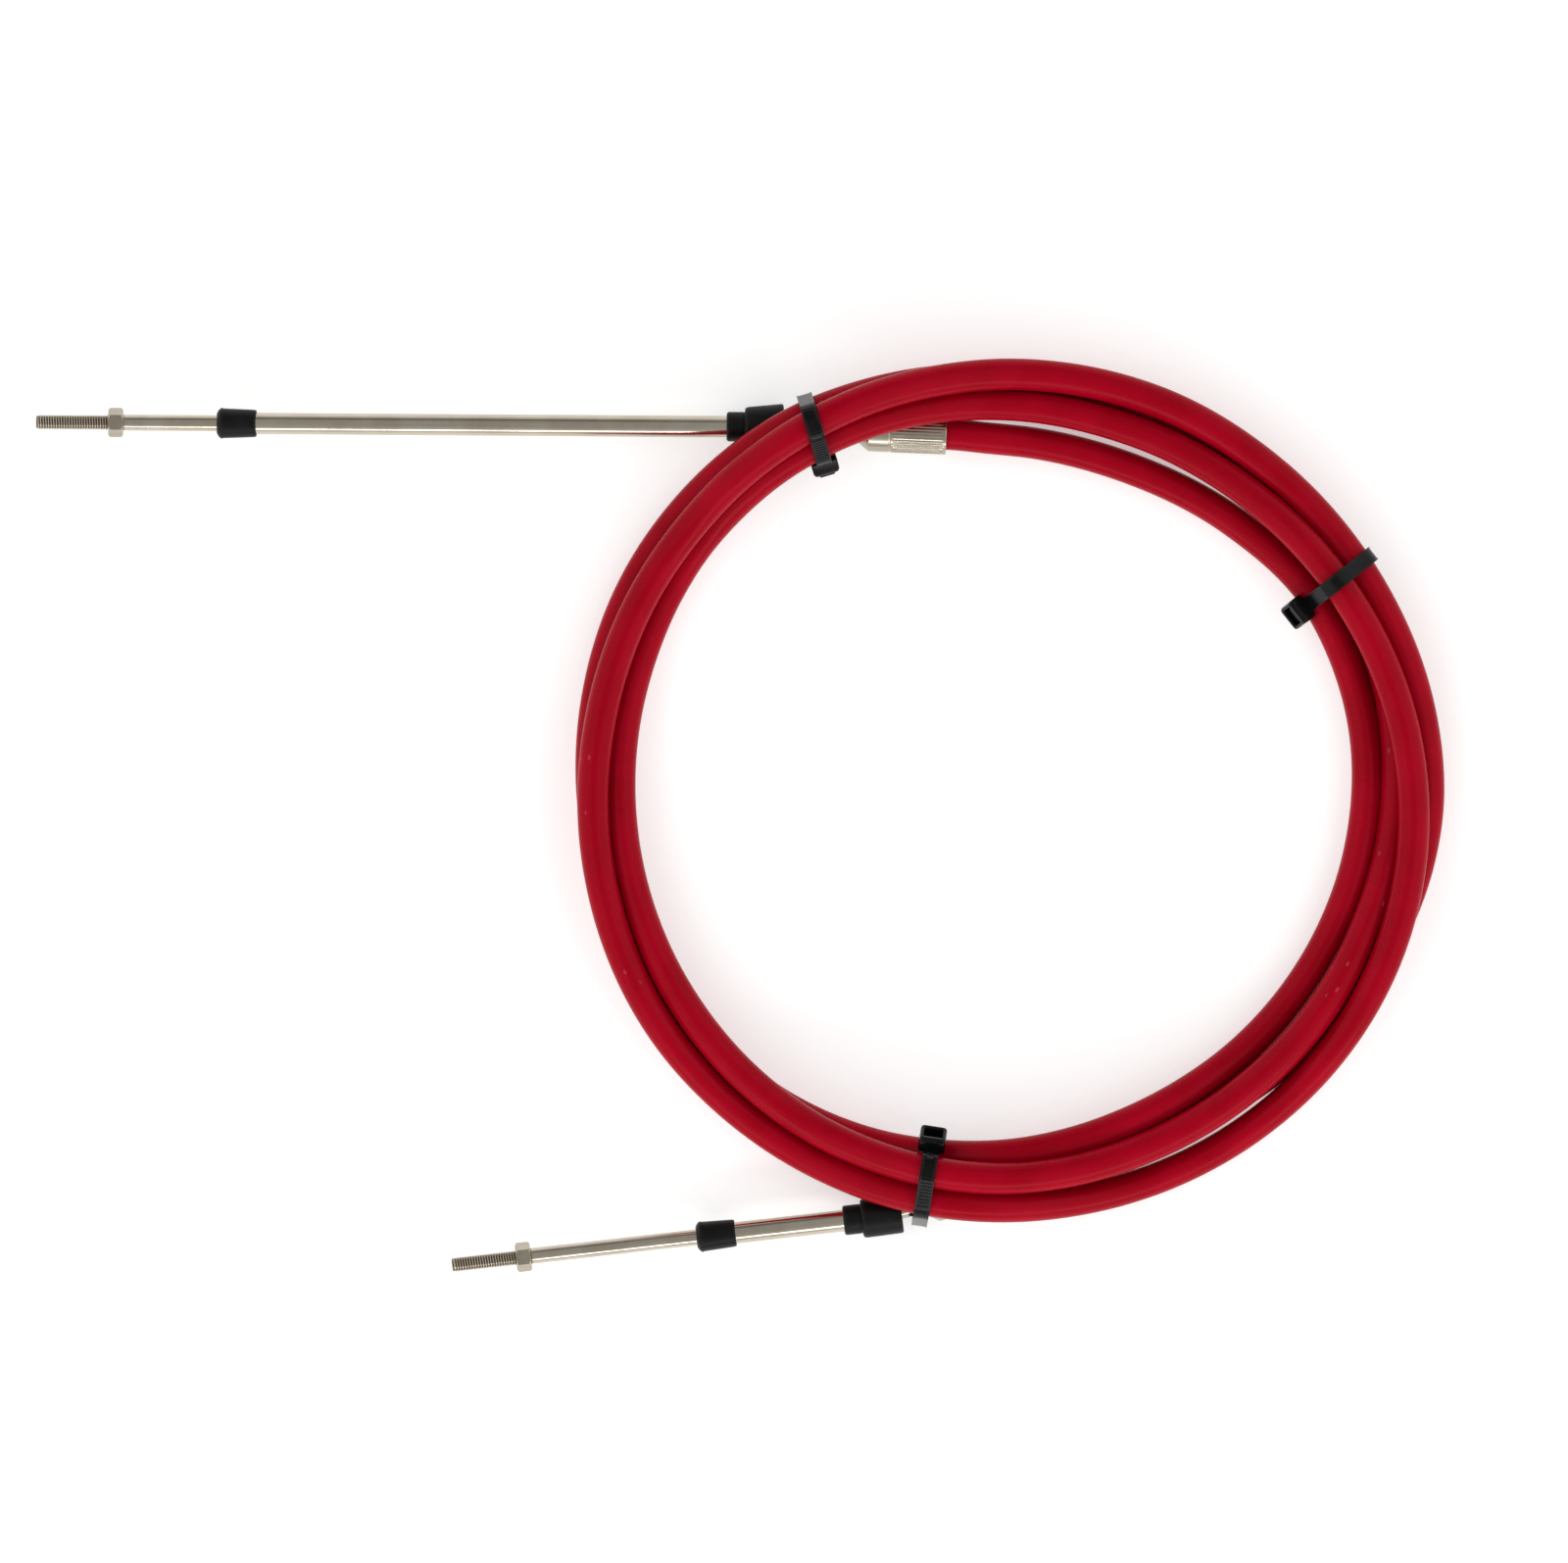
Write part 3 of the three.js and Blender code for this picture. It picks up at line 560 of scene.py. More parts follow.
def tube_grid(centre, radius, sides):
    """Circles of one radius round each point of a line, square to its direction, with their skin
    coordinates and the line's length."""
    ahead = np.gradient(centre, axis=0)
    ahead /= np.linalg.norm(ahead, axis=1)[:, None]
    side = np.cross(ahead, [0.0, 0.0, 1.0])
    side /= np.linalg.norm(side, axis=1)[:, None]
    up = np.cross(side, ahead)
    angle = np.linspace(0, 2 * np.pi, sides, endpoint=False)[None, :, None]
    grid = centre[:, None] + radius * (np.cos(angle) * side[:, None] + np.sin(angle) * up[:, None])
    step = np.linalg.norm(np.diff(centre, axis=0), axis=1)
    along = np.concatenate([[0], np.cumsum(step)])
    angle = np.broadcast_to(angle[..., 0], (len(centre), sides))
    skin = turned_grid(along[:, None], np.full(angle.shape, radius), angle)
    return grid, skin, along[-1]


conduit_grid, conduit_skin, conduit_length = tube_grid(line, CABLE_DIAMETER / 2, CABLE_SIDES)
conduit = grid_piece("cable_jacket", conduit_grid * MM, conduit_skin * MM, JACKET)
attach(conduit, "coil")
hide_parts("conduit")


# Ends

def end_frame(index):
    """A hub's mouth and heading, and its swivel and the fitting's heading, in millimetres."""
    end = ENDS[index]
    mouth, heading = mouth_of(index)
    mouth = mouth + SHIFT
    swivel = mouth + np.append(heading, 0) * (HUB_BARREL + NOSE_LENGTH + end["neck"])
    return mouth, heading, swivel, turn_level(heading, end["swing"])


def turned_piece(name, rows, origin, heading, material, sides=64, ring=False, warp=None, smooth_angle=38):
    """A piece turned round the local X axis from its rows of place and radius. A warp changes the
    grid of radii, or moves the points, before it is placed."""
    rows = np.asarray(rows, float)
    angle = np.linspace(0, 2 * np.pi, sides, endpoint=False)[None, :]
    grid = turned_grid(rows[:, 0:1], np.repeat(rows[:, 1:2], sides, 1), angle)
    if warp is not None:
        grid = warp(grid, angle)
    return grid_piece(name, placed(grid, origin, heading), grid * MM, material, ring, smooth_angle)


def smooth_share(value, low, high):
    """A smooth step from 0 at low to 1 at high."""
    t = np.clip((value - low) / (high - low), 0, 1)
    return t * t * (3 - 2 * t)


def fluted(grid, angle):
    """The crimp's ribs: the radius falls by a rounded wave round the barrel, between the mouth's rim
    and the groove, and not in the bore."""
    radius = np.hypot(grid[..., 1], grid[..., 2])
    window = smooth_share(grid[..., 0], *FLUTES_RISE) * (1 - smooth_share(grid[..., 0], *FLUTES_FADE))
    outside = radius > HUB_RADIUS - 0.3
    wave = 0.5 - 0.5 * np.cos(FLUTES * angle)
    uneven = 1 + 0.35 * np.sin(3 * angle + 0.7) + 0.2 * np.sin(7 * angle + 2)
    cut = FLUTE_DEPTH * window * outside * wave ** 1.5 * uneven
    scale = 1 - cut / radius
    return np.stack([grid[..., 0], grid[..., 1] * scale, grid[..., 2] * scale], -1)


def hub_rows(end):
    """Half section of the hub: socket, lip, ribbed barrel, groove, band, nose, neck, stem, ball."""
    ball = HUB_BARREL + NOSE_LENGTH + end["neck"]
    stem = ball - BALL_RADIUS - STEM_LENGTH
    lip = CABLE_DIAMETER / 2 + 0.05
    body = [[SOCKET_DEPTH + 0.3, 0.4], [SOCKET_DEPTH + 0.3, lip], [0.5, lip], [0, lip + 0.35],
            [0, HUB_RADIUS - 0.18], [0.22, HUB_RADIUS], [HUB_RIBBED - 0.5, HUB_RADIUS],
            [HUB_RIBBED - 0.25, HUB_RADIUS - 0.22], [HUB_RIBBED + 0.1, HUB_RADIUS - 0.22],
            [HUB_RIBBED + 0.3, HUB_RADIUS - 0.04], [HUB_BARREL - 0.1, HUB_RADIUS - 0.08],
            [HUB_BARREL + NOSE_LENGTH, NECK_RADIUS], [stem - 0.25, NECK_RADIUS], [stem, NECK_RADIUS - 0.25],
            [stem, STEM_RADIUS]]
    body = eased(body, 0.22)
    barrel = np.stack([np.linspace(1.3, HUB_RIBBED - 1.3, 14), np.full(14, HUB_RADIUS)], -1)
    split = np.where(body[:, 0] < 1.2)[0].max() + 1
    start = math.asin(STEM_RADIUS / BALL_RADIUS)
    angle = np.linspace(math.pi - start, 0.12, 12)
    globe = np.stack([ball + BALL_RADIUS * np.cos(angle), BALL_RADIUS * np.sin(angle)], -1)
    return np.concatenate([body[:split], barrel, body[split:], globe])


def make_hub(index):
    end = ENDS[index]
    mouth, heading, _, _ = end_frame(index)
    hub = turned_piece(f"hub_{end['name']}_barrel", hub_rows(end), mouth, heading, STEEL,
                       sides=HUB_SIDES, warp=fluted, smooth_angle=50)
    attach(hub, "coil")
    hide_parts(f"hub_{end['name']}")


def make_sleeve(index):
    end = ENDS[index]
    _, _, swivel, heading = end_frame(index)
    last = BOOT_END + end["sleeve"] + SEAL_OVER_SLEEVE
    rows = eased([[-SLEEVE_OVER_BALL, SLEEVE_BORE], [-SLEEVE_OVER_BALL, SLEEVE_RADIUS],
                  [last, SLEEVE_RADIUS], [last, SLEEVE_BORE]], 0.16, closed=True)
    sleeve = turned_piece(f"sleeve_{end['name']}_tube", rows, swivel, heading, STAINLESS, ring=True)
    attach(sleeve, f"sleeve_{end['name']}")
    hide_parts(f"sleeve_{end['name']}")


def boot_rows():
    """Half section of the boot: open mouth, skirt, step, groove, collar, and back along the bore."""
    bore = SLEEVE_RADIUS + 0.05
    wall = BOOT_SKIRT_RADIUS - BOOT_WALL
    rows = [[-BOOT_PAST_BALL, wall + 0.25], [-BOOT_PAST_BALL, BOOT_SKIRT_RADIUS - 0.45],
            [-BOOT_PAST_BALL + 0.5, BOOT_SKIRT_RADIUS - 0.05], [BOOT_STEP - 0.9, BOOT_SKIRT_RADIUS],
            [BOOT_STEP, BOOT_SKIRT_RADIUS - 0.35], [BOOT_STEP + 0.25, BOOT_COLLAR_RADIUS - 0.12],
            [BOOT_STEP + 0.8, BOOT_COLLAR_RADIUS], [BOOT_END - 0.5, BOOT_COLLAR_RADIUS],
            [BOOT_END, BOOT_COLLAR_RADIUS - 0.55], [BOOT_END, bore], [BOOT_STEP - 1.4, bore],
            [BOOT_STEP - 1.6, wall], [-BOOT_PAST_BALL + 0.4, wall]]
    return eased(rows, 0.3, closed=True)


def make_boot(index):
    end = ENDS[index]
    _, _, swivel, heading = end_frame(index)

    def bent(grid, angle):
        """The skirt leans to one side: points before the step turn about it, more with distance."""
        reach = BOOT_STEP - grid[..., 0]
        lean = math.radians(end["skirt_tilt"]) * smooth_share(reach, -0.5, 2.5)
        x = BOOT_STEP - reach * np.cos(lean) - grid[..., 1] * np.sin(lean)
        y = grid[..., 1] * np.cos(lean) - reach * np.sin(lean)
        return np.stack([x, y, grid[..., 2]], -1)

    boot = turned_piece(f"boot_{end['name']}_rubber", boot_rows(), swivel, heading, RUBBER,
                        sides=RUBBER_SIDES, ring=True, warp=bent)
    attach(boot, f"sleeve_{end['name']}")
    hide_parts(f"boot_{end['name']}")


def seal_rows(rear):
    """Half section of the wiper seal: thin rear rim on the sleeve, taper out to the lip, domed face
    down to the rod, and back along the bores."""
    lip = rear + SEAL_LENGTH
    sleeve_bore, rod_bore = SLEEVE_RADIUS + 0.04, ROD_RADIUS + 0.04
    floor = rear + SEAL_OVER_SLEEVE + 0.3
    rows = [[rear + 0.1, sleeve_bore], [rear + 0.15, 4.0], [rear + 0.75, 4.24], [lip - 2.2, 4.62],
            [lip - 1.55, 4.78], [lip - 1.25, 4.72], [lip - 0.55, 4.1], [lip, 3.1], [lip - 0.1, rod_bore],
            [floor, rod_bore], [floor, sleeve_bore]]
    return eased(rows, 0.3, closed=True)


def make_seal(index):
    end = ENDS[index]
    _, _, swivel, heading = end_frame(index)
    rear = BOOT_END + end["sleeve"]

    def trimmed(grid, angle):
        """The rear rim is cut unevenly: it reaches further on the two sides than on top."""
        share = 1 - smooth_share(grid[..., 0], rear, rear + SEAL_RIM_FADE)
        wave = 0.9 * np.cos(angle) ** 4 + 0.16 * np.sin(9 * angle + 1) * np.sin(4 * angle)
        x = grid[..., 0] - end["rim_cut"] * share * (wave - 0.35)
        return np.stack([x, grid[..., 1], grid[..., 2]], -1)

    seal = turned_piece(f"seal_{end['name']}_rubber", seal_rows(rear), swivel, heading, RUBBER,
                        sides=RUBBER_SIDES, ring=True, warp=trimmed)
    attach(seal, f"sleeve_{end['name']}")
    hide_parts(f"seal_{end['name']}")


def thread_dip(along, angle):
    """Depth of a right-hand thread: a wave with a narrow crest and a wider root, once a pitch, which
    goes round with the angle."""
    turn = (along / THREAD_PITCH - angle / (2 * np.pi)) % 1.0
    return THREAD_DEPTH * smooth_share(1 - np.abs(2 * turn - 1), 0.12, 0.78)


def make_rod(index):
    """The rod and its thread on one grid: the radius is the rod's, then the thread's, less the
    thread's dip, under a chamfer at the tip."""
    end = ENDS[index]
    _, _, swivel, heading = end_frame(index)
    base = BOOT_END + end["sleeve"] + SEAL_LENGTH
    shoulder = base + end["rod"]
    tip = shoulder + end["thread"]
    inner = base - end["inside"]
    plain = np.array([inner, inner + 0.15, inner + 0.35, base - 1, base + 6, shoulder - 0.25,
                      shoulder - 0.08])
    threaded = np.arange(shoulder, tip - 0.02, THREAD_STEP)
    along = np.concatenate([plain, threaded, [tip - 0.01, tip]])[:, None]
    angle = np.linspace(0, 2 * np.pi, 40, endpoint=False)[None, :]
    on_thread = smooth_share(along, shoulder - 0.08, shoulder + 0.08)
    depth = thread_dip(along, angle) * smooth_share(along, shoulder, shoulder + THREAD_RUN_IN)
    radius = ROD_RADIUS + (THREAD_RADIUS - ROD_RADIUS) * on_thread - depth
    from_tip = np.clip(tip - along, 0, TIP_CHAMFER) / TIP_CHAMFER
    chamfer = TIP_RADIUS + np.sqrt(from_tip) * (THREAD_RADIUS - TIP_RADIUS)
    radius = np.where(along > tip - TIP_CHAMFER, np.minimum(radius, chamfer), radius)
    radius = np.minimum(radius, ROD_RADIUS - 0.2 + np.clip(along - inner, 0, 0.2))
    grid = turned_grid(along, radius, angle)
    rod = grid_piece(f"rod_{end['name']}_threaded", placed(grid, swivel, heading), grid * MM, STAINLESS,
                     smooth_angle=60)
    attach(rod, f"rod_{end['name']}")
    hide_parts(f"rod_{end['name']}")


def make_nut(index):
    """A hexagon under a rounded limit at both faces: the radius is the smaller of the hexagon's and
    the limit's, and the bore closes the ring."""
    end = ENDS[index]
    _, _, swivel, heading = end_frame(index)
    start = BOOT_END + end["sleeve"] + SEAL_LENGTH + end["rod"] + NUT_GAP
    angle = np.linspace(0, 2 * np.pi, NUT_SIDES, endpoint=False)[None, :]
    hexagon = NUT_FLATS / 2 / np.cos(angle % (np.pi / 3) - np.pi / 6)
    depth = np.array([0, 0.04, 0.1, 0.2, 0.35, 0.55, 0.8, 1.1, 1.5])
    along = np.concatenate([depth, NUT_THICKNESS - depth[::-1]])[:, None]
    from_face = np.minimum(along, NUT_THICKNESS - along)
    corner = NUT_FLATS / 2 / math.cos(math.pi / 6)
    rise = np.sqrt(1 - (1 - np.clip(from_face / NUT_CHAMFER, 0, 1)) ** 2)
    limit = NUT_FACE_RADIUS + (corner + 0.02 - NUT_FACE_RADIUS) * rise
    outer = np.minimum(np.broadcast_to(hexagon, limit.shape[:1] + hexagon.shape[1:]), limit)
    outer = np.minimum(outer, corner - 0.05)
    bore = np.array([[NUT_THICKNESS, NUT_COUNTERSINK], [NUT_THICKNESS - 0.45, NUT_BORE],
                     [0.45, NUT_BORE], [0, NUT_COUNTERSINK]])
    inner = np.repeat(bore[:, 1:2], angle.shape[1], 1)
    radius = np.concatenate([outer, inner])
    place = np.concatenate([along, bore[:, 0:1]]) + start
    grid = turned_grid(place, radius, angle)
    nut = grid_piece(f"nut_{end['name']}_hexagon", placed(grid, swivel, heading), grid * MM, STEEL,
                     ring=True, smooth_angle=24)
    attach(nut, f"rod_{end['name']}")
    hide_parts(f"nut_{end['name']}")


for index in range(2):
    make_hub(index)
for index in range(2):
    make_sleeve(index)
    make_boot(index)
    make_seal(index)
    make_rod(index)
    make_nut(index)


# Ties

def nose_radius(along):
    """The hub's outer radius at a place along its axis, from the mouth."""
    share = np.clip((along - HUB_BARREL) / NOSE_LENGTH, 0, 1)
    return HUB_RADIUS + share * (NECK_RADIUS - HUB_RADIUS)


def tie_plane(tie):
    """A point in the tie's upright plane, and the directions out from the coil and across it."""
    angle, facing = math.radians(tie["bearing"]), math.radians(tie["bearing"] + tie["askew"])
    pivot = COIL_RADIUS * np.array([math.sin(angle), math.cos(angle), 0.0])
    out = np.array([math.sin(facing), math.cos(facing), 0.0])
    across = np.array([math.cos(facing), -math.sin(facing), 0.0])
    return pivot, out, across


def held_circles(tie):
    """What a tie holds, cut across at its plane, as rows [out, up, radius] in millimetres. A strand's
    bearing is stepped by what it misses the plane by, until it lies in it."""
    pivot, out, across = tie_plane(tie)
    shift = np.linspace(-STRAP_WIDTH / 2, STRAP_WIDTH / 2, 5)[:, None]
    turns = tie["bearing"] + 360.0 * np.arange(5)
    turns = turns[(turns >= FIRST) & (turns <= LAST)]
    shift, bearing = (values.ravel() for values in np.broadcast_arrays(shift, turns[None, :]))
    for _ in range(8):
        miss = shift - (coil_point(bearing) - pivot) @ across
        bearing = bearing + np.degrees(miss / COIL_RADIUS)
    p = coil_point(bearing) - pivot
    girth = CABLE_DIAMETER / 2 / math.cos(math.radians(tie["askew"]))
    rows = np.stack([p @ out, p[:, 2], np.full(len(p), girth)], -1)
    if tie["neck_of"] is None:
        return rows
    mouth, heading = mouth_of(tie["neck_of"])
    ahead = np.append(heading, 0)
    slant = ahead @ across
    margin = STRAP_WIDTH / 2 + NECK_RADIUS * math.sqrt(1 - slant * slant)
    reach = (np.linspace(-margin, margin, 7) - (mouth - pivot) @ across) / slant
    q = mouth + reach[:, None] * ahead - pivot
    neck = np.stack([q @ out, q[:, 2], nose_radius(reach) / abs(slant)], -1)
    return np.concatenate([rows, neck])


def loop_round(circles, extra, count):
    """The tight outline round circles, grown by extra: for each outward direction the furthest
    circle gives its point, and the points are then spread evenly by their length."""
    turn = np.linspace(0, 2 * np.pi, 1440, endpoint=False)
    normal = np.stack([np.cos(turn), np.sin(turn)], -1)
    far = normal @ circles[:, :2].T + circles[None, :, 2]
    best = circles[np.argmax(far, axis=1)]
    points = best[:, :2] + normal * (best[:, 2:3] + extra)
    closed = np.concatenate([points, points[:1]])
    length = np.concatenate([[0], np.cumsum(np.hypot(*np.diff(closed, axis=0).T))])
    even = np.linspace(0, length[-1], count, endpoint=False)
    loop = np.stack([np.interp(even, length, closed[:, k]) for k in range(2)], -1)
    for _ in range(6):
        loop = 0.5 * loop + 0.25 * (np.roll(loop, 1, 0) + np.roll(loop, -1, 0))
    return loop, length[-1]


def tie_world(points, tie):
    """Local (out, up, across) millimetres of a tie to the row frame in metres."""
    pivot, out, across = tie_plane(tie)
    up = np.array([0.0, 0.0, 1.0])
    world = points[..., 0:1] * out + points[..., 1:2] * up + points[..., 2:3] * across
    return (world + pivot + SHIFT) * MM


def seat_of(tie, loop):
    """Where the head sits: the point of the inner outline that lies in the direction head_from from
    the middle of the outline's box. With it come that middle and the direction in radians."""
    middle = (loop.min(0) + loop.max(0)) / 2
    toward = math.radians(tie["head_from"])
    turn = np.arctan2(loop[:, 1] - middle[1], loop[:, 0] - middle[0])
    away = np.abs((turn - toward + np.pi) % (2 * np.pi) - np.pi)
    return loop[np.argmin(away)], middle, toward


# Cross-section of the strap, from its inner face round by the rails of its outer face: place across
# the width, and height as a share of the thickness
STRAP_SECTION = np.array([
    [-2.25, 0.0], [-1.2, 0.0], [0.0, 0.0], [1.2, 0.0], [2.25, 0.0], [2.38, 0.06], [2.4, 0.18],
    [2.4, 0.86], [2.36, 0.96], [2.25, 1.0], [2.05, 1.0], [1.95, 0.97], [1.85, 0.88], [1.2, 0.87],
    [0.6, 0.87], [0.0, 0.87], [-0.6, 0.87], [-1.2, 0.87], [-1.85, 0.88], [-1.95, 0.97], [-2.05, 1.0],
    [-2.25, 1.0], [-2.36, 0.96], [-2.4, 0.86], [-2.4, 0.18], [-2.38, 0.06],
])


def make_strap(tie, loop, length, middle, toward):
    """The strap's section carried round the tight outline, with shallow serrations between its
    rails on the half that passed through the head."""
    ahead = np.roll(loop, -1, 0) - np.roll(loop, 1, 0)
    ahead /= np.hypot(*ahead.T)[:, None]
    outward = np.stack([ahead[:, 1], -ahead[:, 0]], -1)
    place = np.arange(len(loop)) / len(loop) * length
    turn = np.arctan2(loop[:, 1] - middle[1], loop[:, 0] - middle[0])
    gap = tie["side"] * ((turn - toward + np.pi) % (2 * np.pi) - np.pi)
    toothed = smooth_share(gap, 0.35, 0.5) * (1 - smooth_share(gap, 1.9, 2.1))
    teeth = 0.05 * toothed * (0.5 + 0.5 * np.cos(2 * np.pi * place / TOOTH_PITCH))
    height = STRAP_SECTION[:, 1][None, :] * STRAP_THICKNESS
    between = (STRAP_SECTION[:, 1] > 0.8) & (np.abs(STRAP_SECTION[:, 0]) < 1.9)
    height = height + between[None, :] * teeth[:, None] * STRAP_THICKNESS
    flat = loop[:, None] + outward[:, None] * height[..., None]
    width = np.broadcast_to(STRAP_SECTION[:, 0][None, :], height.shape)
    grid = np.concatenate([flat, width[..., None]], -1)
    skin = np.stack([np.broadcast_to(place[:, None], height.shape), width, height], -1)
    strap = grid_piece(f"tie_{tie['name']}_strap", tie_world(grid, tie), skin * MM, NYLON, ring=True)
    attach(strap, "coil")
    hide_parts(f"tie_{tie['name']}")


def rounded_ring(half_width, half_length, corner):
    """A rectangle with round corners as a closed ring of points, with a support point on each side
    of a corner."""
    arc = np.linspace(0, np.pi / 2, CORNER_STEPS + 1)
    support = 0.12
    points = []
    for quarter in range(4):
        sx, sy = (1, -1, -1, 1)[quarter], (1, 1, -1, -1)[quarter]
        angle = arc + quarter * np.pi / 2
        x = sx * (half_width - corner) + corner * np.cos(angle)
        y = sy * (half_length - corner) + corner * np.sin(angle)
        before = [x[0] + support * math.sin(angle[0]), y[0] - support * math.cos(angle[0])]
        after = [x[-1] - support * math.sin(angle[-1]), y[-1] + support * math.cos(angle[-1])]
        points += [[before], np.stack([x, y], -1), [after]]
    return np.concatenate(points)


def lofted_block(name, rows, place, material):
    """A block of rounded rectangles, one for each row [depth, half width, half length, corner]."""
    rings = np.stack([rounded_ring(*row[1:]) for row in rows])
    depth = np.array([row[0] for row in rows])[:, None]
    grid = np.stack([np.broadcast_to(depth, rings.shape[:2]), rings[..., 1], rings[..., 0]], -1)
    return grid_piece(name, place(grid), grid * MM, material, smooth_angle=50)


def make_head(tie, seat):
    """The head: rounded block with a window, set on the strap at its seat and facing the head's
    angle, and the cut end of the strap in the window."""
    facing = math.radians(tie["head_angle"])
    normal = np.array([math.cos(facing), math.sin(facing)])
    beside = np.array([-normal[1], normal[0]])
    seat = seat + normal * HEAD_LIFT + beside * tie["slide"]

    def place(grid):
        flat = seat + grid[..., 0:1] * normal + grid[..., 1:2] * beside
        return tie_world(np.concatenate([flat, grid[..., 2:3]], -1), tie)

    w, l, d = HEAD_WIDTH / 2, HEAD_LENGTH / 2, HEAD_DEPTH - HEAD_LIFT
    rows = [[0.0, w - 0.9, l - 0.9, 0.5], [0.0, w - 0.45, l - 0.45, 0.6], [0.12, w - 0.2, l - 0.2, 0.7],
            [0.4, w - 0.02, l - 0.02, 0.8], [0.6, w, l, 0.8], [d - 1.3, w - 0.05, l - 0.1, 0.85],
            [d - 1.1, w - 0.07, l - 0.15, 0.85], [d - 0.35, w - 0.3, l - 0.45, 0.85],
            [d - 0.1, w - 0.5, l - 0.65, 0.8], [d, w - 0.75, l - 0.9, 0.7], [d, w - 0.85, l - 1.0, 0.65],
            [d, 3.12, 2.4, 0.4], [d - 0.08, 3.0, 2.28, 0.35], [d - 0.35, 2.88, 2.16, 0.3],
            [d - 0.55, 2.86, 2.14, 0.3], [1.3, 2.72, 1.9, 0.3], [1.2, 2.6, 1.8, 0.3], [1.2, 2.0, 1.1, 0.3]]
    head = lofted_block(f"tie_{tie['name']}_head", rows, place, NYLON)
    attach(head, "coil")

    end = d + tie["tail"]
    shift = 0.55 * tie["side"]

    def place_tail(grid):
        return place(grid + np.array([0.0, shift, 0.0]))

    half, thick = STRAP_WIDTH / 2, STRAP_THICKNESS / 2
    rows = [[1.0, half - 0.05, thick - 0.05, 0.2], [1.1, half, thick, 0.22],
            [end - 0.15, half, thick, 0.22], [end - 0.03, half - 0.04, thick - 0.04, 0.2],
            [end, half - 0.12, thick - 0.12, 0.18]]
    tail = lofted_block(f"tie_{tie['name']}_tail", rows, place_tail, NYLON)
    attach(tail, "coil")


def make_mark(tie, loop, length, seat):
    """The round ejector mark on the strap beside the head: a low disc with a raised rim, set on the
    outline where its length from the seat is the tie's mark."""
    step = length / len(loop)
    k = (np.argmin(np.hypot(*(loop - seat).T)) + int(round(tie["mark"] / step))) % len(loop)
    ahead = loop[(k + 4) % len(loop)] - loop[k - 4]
    ahead /= np.hypot(*ahead)
    outward = np.array([ahead[1], -ahead[0]])

    def place(grid):
        flat = loop[k] + (grid[..., 0:1] + 0.8 * STRAP_THICKNESS) * outward + grid[..., 1:2] * ahead
        return tie_world(np.concatenate([flat, grid[..., 2:3]], -1), tie)

    rows = [[0.0, 1.5, 1.5, 1.48], [0.28, 1.5, 1.5, 1.48], [0.36, 1.42, 1.42, 1.4],
            [0.36, 1.28, 1.28, 1.26], [0.2, 1.12, 1.12, 1.1], [0.17, 1.0, 1.0, 0.98]]
    mark = lofted_block(f"tie_{tie['name']}_mark", rows, place, NYLON)
    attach(mark, "coil")


for tie in TIES:
    loop, length = loop_round(held_circles(tie), STRAP_CLEARANCE, LOOP_POINTS)
    seat, middle, toward = seat_of(tie, loop)
    make_strap(tie, loop, length, middle, toward)
    make_head(tie, seat)
    if tie["mark"] is not None:
        make_mark(tie, loop, length, seat)


# Studio

def floor_finish():
    """Pale paper: near white, with a faint unevenness."""
    material = bpy.data.materials.new("pale floor")
    material.use_nodes = True
    tree = material.node_tree
    shader = tree.nodes["Principled BSDF"]
    where = node(tree, "ShaderNodeTexCoord").outputs["Object"]
    cloud = node(tree, "ShaderNodeTexNoise", Vector=where, Scale=3.0, Detail=3.0)
    tree.links.new(colour_mix(tree, cloud.outputs["Fac"], (0.79, 0.79, 0.79, 1), (0.81, 0.81, 0.81, 1)),
                   shader.inputs["Base Color"])
    shader.inputs["Roughness"].default_value = 0.9
    shader.inputs["Specular IOR Level"].default_value = 0.0
    shader.inputs["Emission Color"].default_value = (1, 1, 1, 1)
    shader.inputs["Emission Strength"].default_value = FLOOR_GLOW
    return material


def make_floor():
    """A square just under the part, wide enough to fill every view."""
    mesh = bpy.data.meshes.new("floor")
    sides = ((-1, -1), (1, -1), (1, 1), (-1, 1))
    corners = [(x * FLOOR_HALF, y * FLOOR_HALF, FLOOR_LEVEL) for x, y in sides]
    mesh.from_pydata(corners, [], [(0, 1, 2, 3)])
    mesh.materials.append(floor_finish())
    floor = bpy.data.objects.new("floor", mesh)
    bpy.context.scene.collection.objects.link(floor)


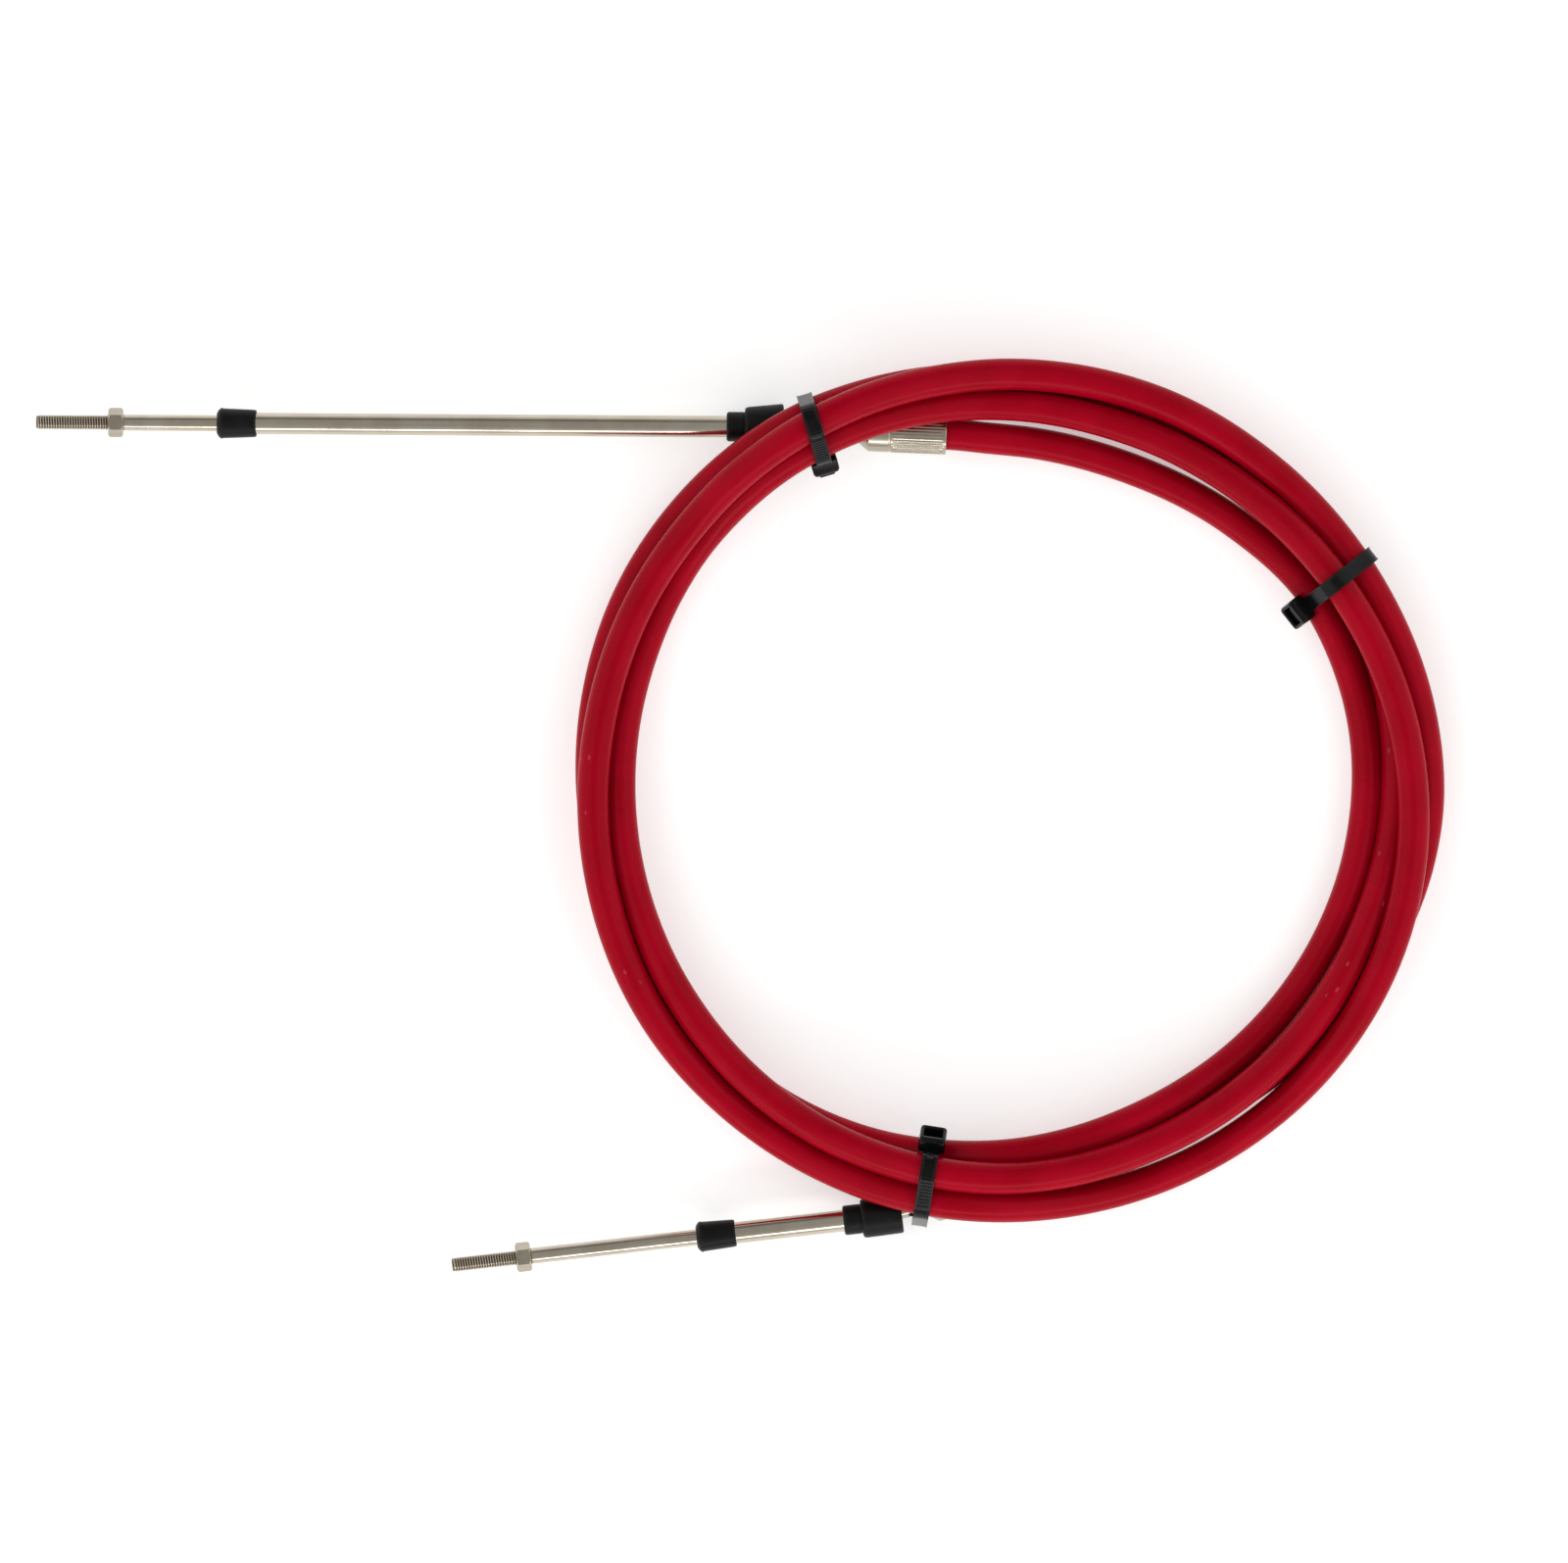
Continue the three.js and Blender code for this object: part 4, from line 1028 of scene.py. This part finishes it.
def ramp_by(tree, factor, stops):
    """A grey ramp from its stops [place, brightness]."""
    made = tree.nodes.new("ShaderNodeValToRGB")
    elements = made.color_ramp.elements
    while len(elements) < len(stops):
        elements.new(0.5)
    for element, (place, value) in zip(elements, stops):
        element.position = place
        element.color = (value, value, value * 0.985, 1)
    tree.links.new(factor, made.inputs[0])
    return made.outputs[0]


def make_world():
    """A light tent: bright at both sides, with a dimmer strip from south over the top to north. The
    strip is bright low in the south and dark halfway up in the north."""
    world = bpy.data.worlds.new("studio")
    bpy.context.scene.world = world
    world.use_nodes = True
    tree = world.node_tree
    split = node(tree, "ShaderNodeSeparateXYZ", _0=node(tree, "ShaderNodeTexCoord").outputs["Generated"])
    height = split.outputs["Z"]
    south = ramp_by(tree, height, [(0.0, 0.6), (0.2, 0.85), (0.6, 0.8), (0.78, 0.5), (1.0, 0.44)])
    north = ramp_by(tree, height, [(0.0, 0.2), (0.08, 0.75), (0.28, 0.7), (0.45, 0.18), (0.62, 0.2),
                                   (0.8, 0.42), (1.0, 0.42)])
    strip = colour_mix(tree, ramp_node(tree, split.outputs["Y"], -0.2, 0.25), south, north)
    side = ramp_node(tree, math_node(tree, "ABSOLUTE", split.outputs["X"]), *STRIP_EDGE)
    tent = colour_mix(tree, side, strip, SIDE_LIGHT)
    tree.links.new(tent, tree.nodes["Background"].inputs["Color"])
    tree.nodes["Background"].inputs["Strength"].default_value = 1.0


def make_softbox(name, location, target, size, energy):
    """A wide, soft rectangular light that looks at a point."""
    data = bpy.data.lights.new(name, "AREA")
    data.shape = "RECTANGLE"
    data.size, data.size_y = size
    data.energy = energy
    light = bpy.data.objects.new(name, data)
    light.location = location
    aim = np.array(target) - np.array(location)
    flat = math.hypot(aim[0], aim[1])
    light.rotation_euler = (math.atan2(flat, -aim[2]), 0, math.atan2(-aim[0], aim[1]))
    bpy.context.scene.collection.objects.link(light)


make_floor()
make_world()
make_softbox("south softbox", SOFTBOX_PLACE, (0, 0, 0), SOFTBOX_SIZE, SOFTBOX_WATTS)
bpy.context.scene.view_settings.view_transform = "Standard"
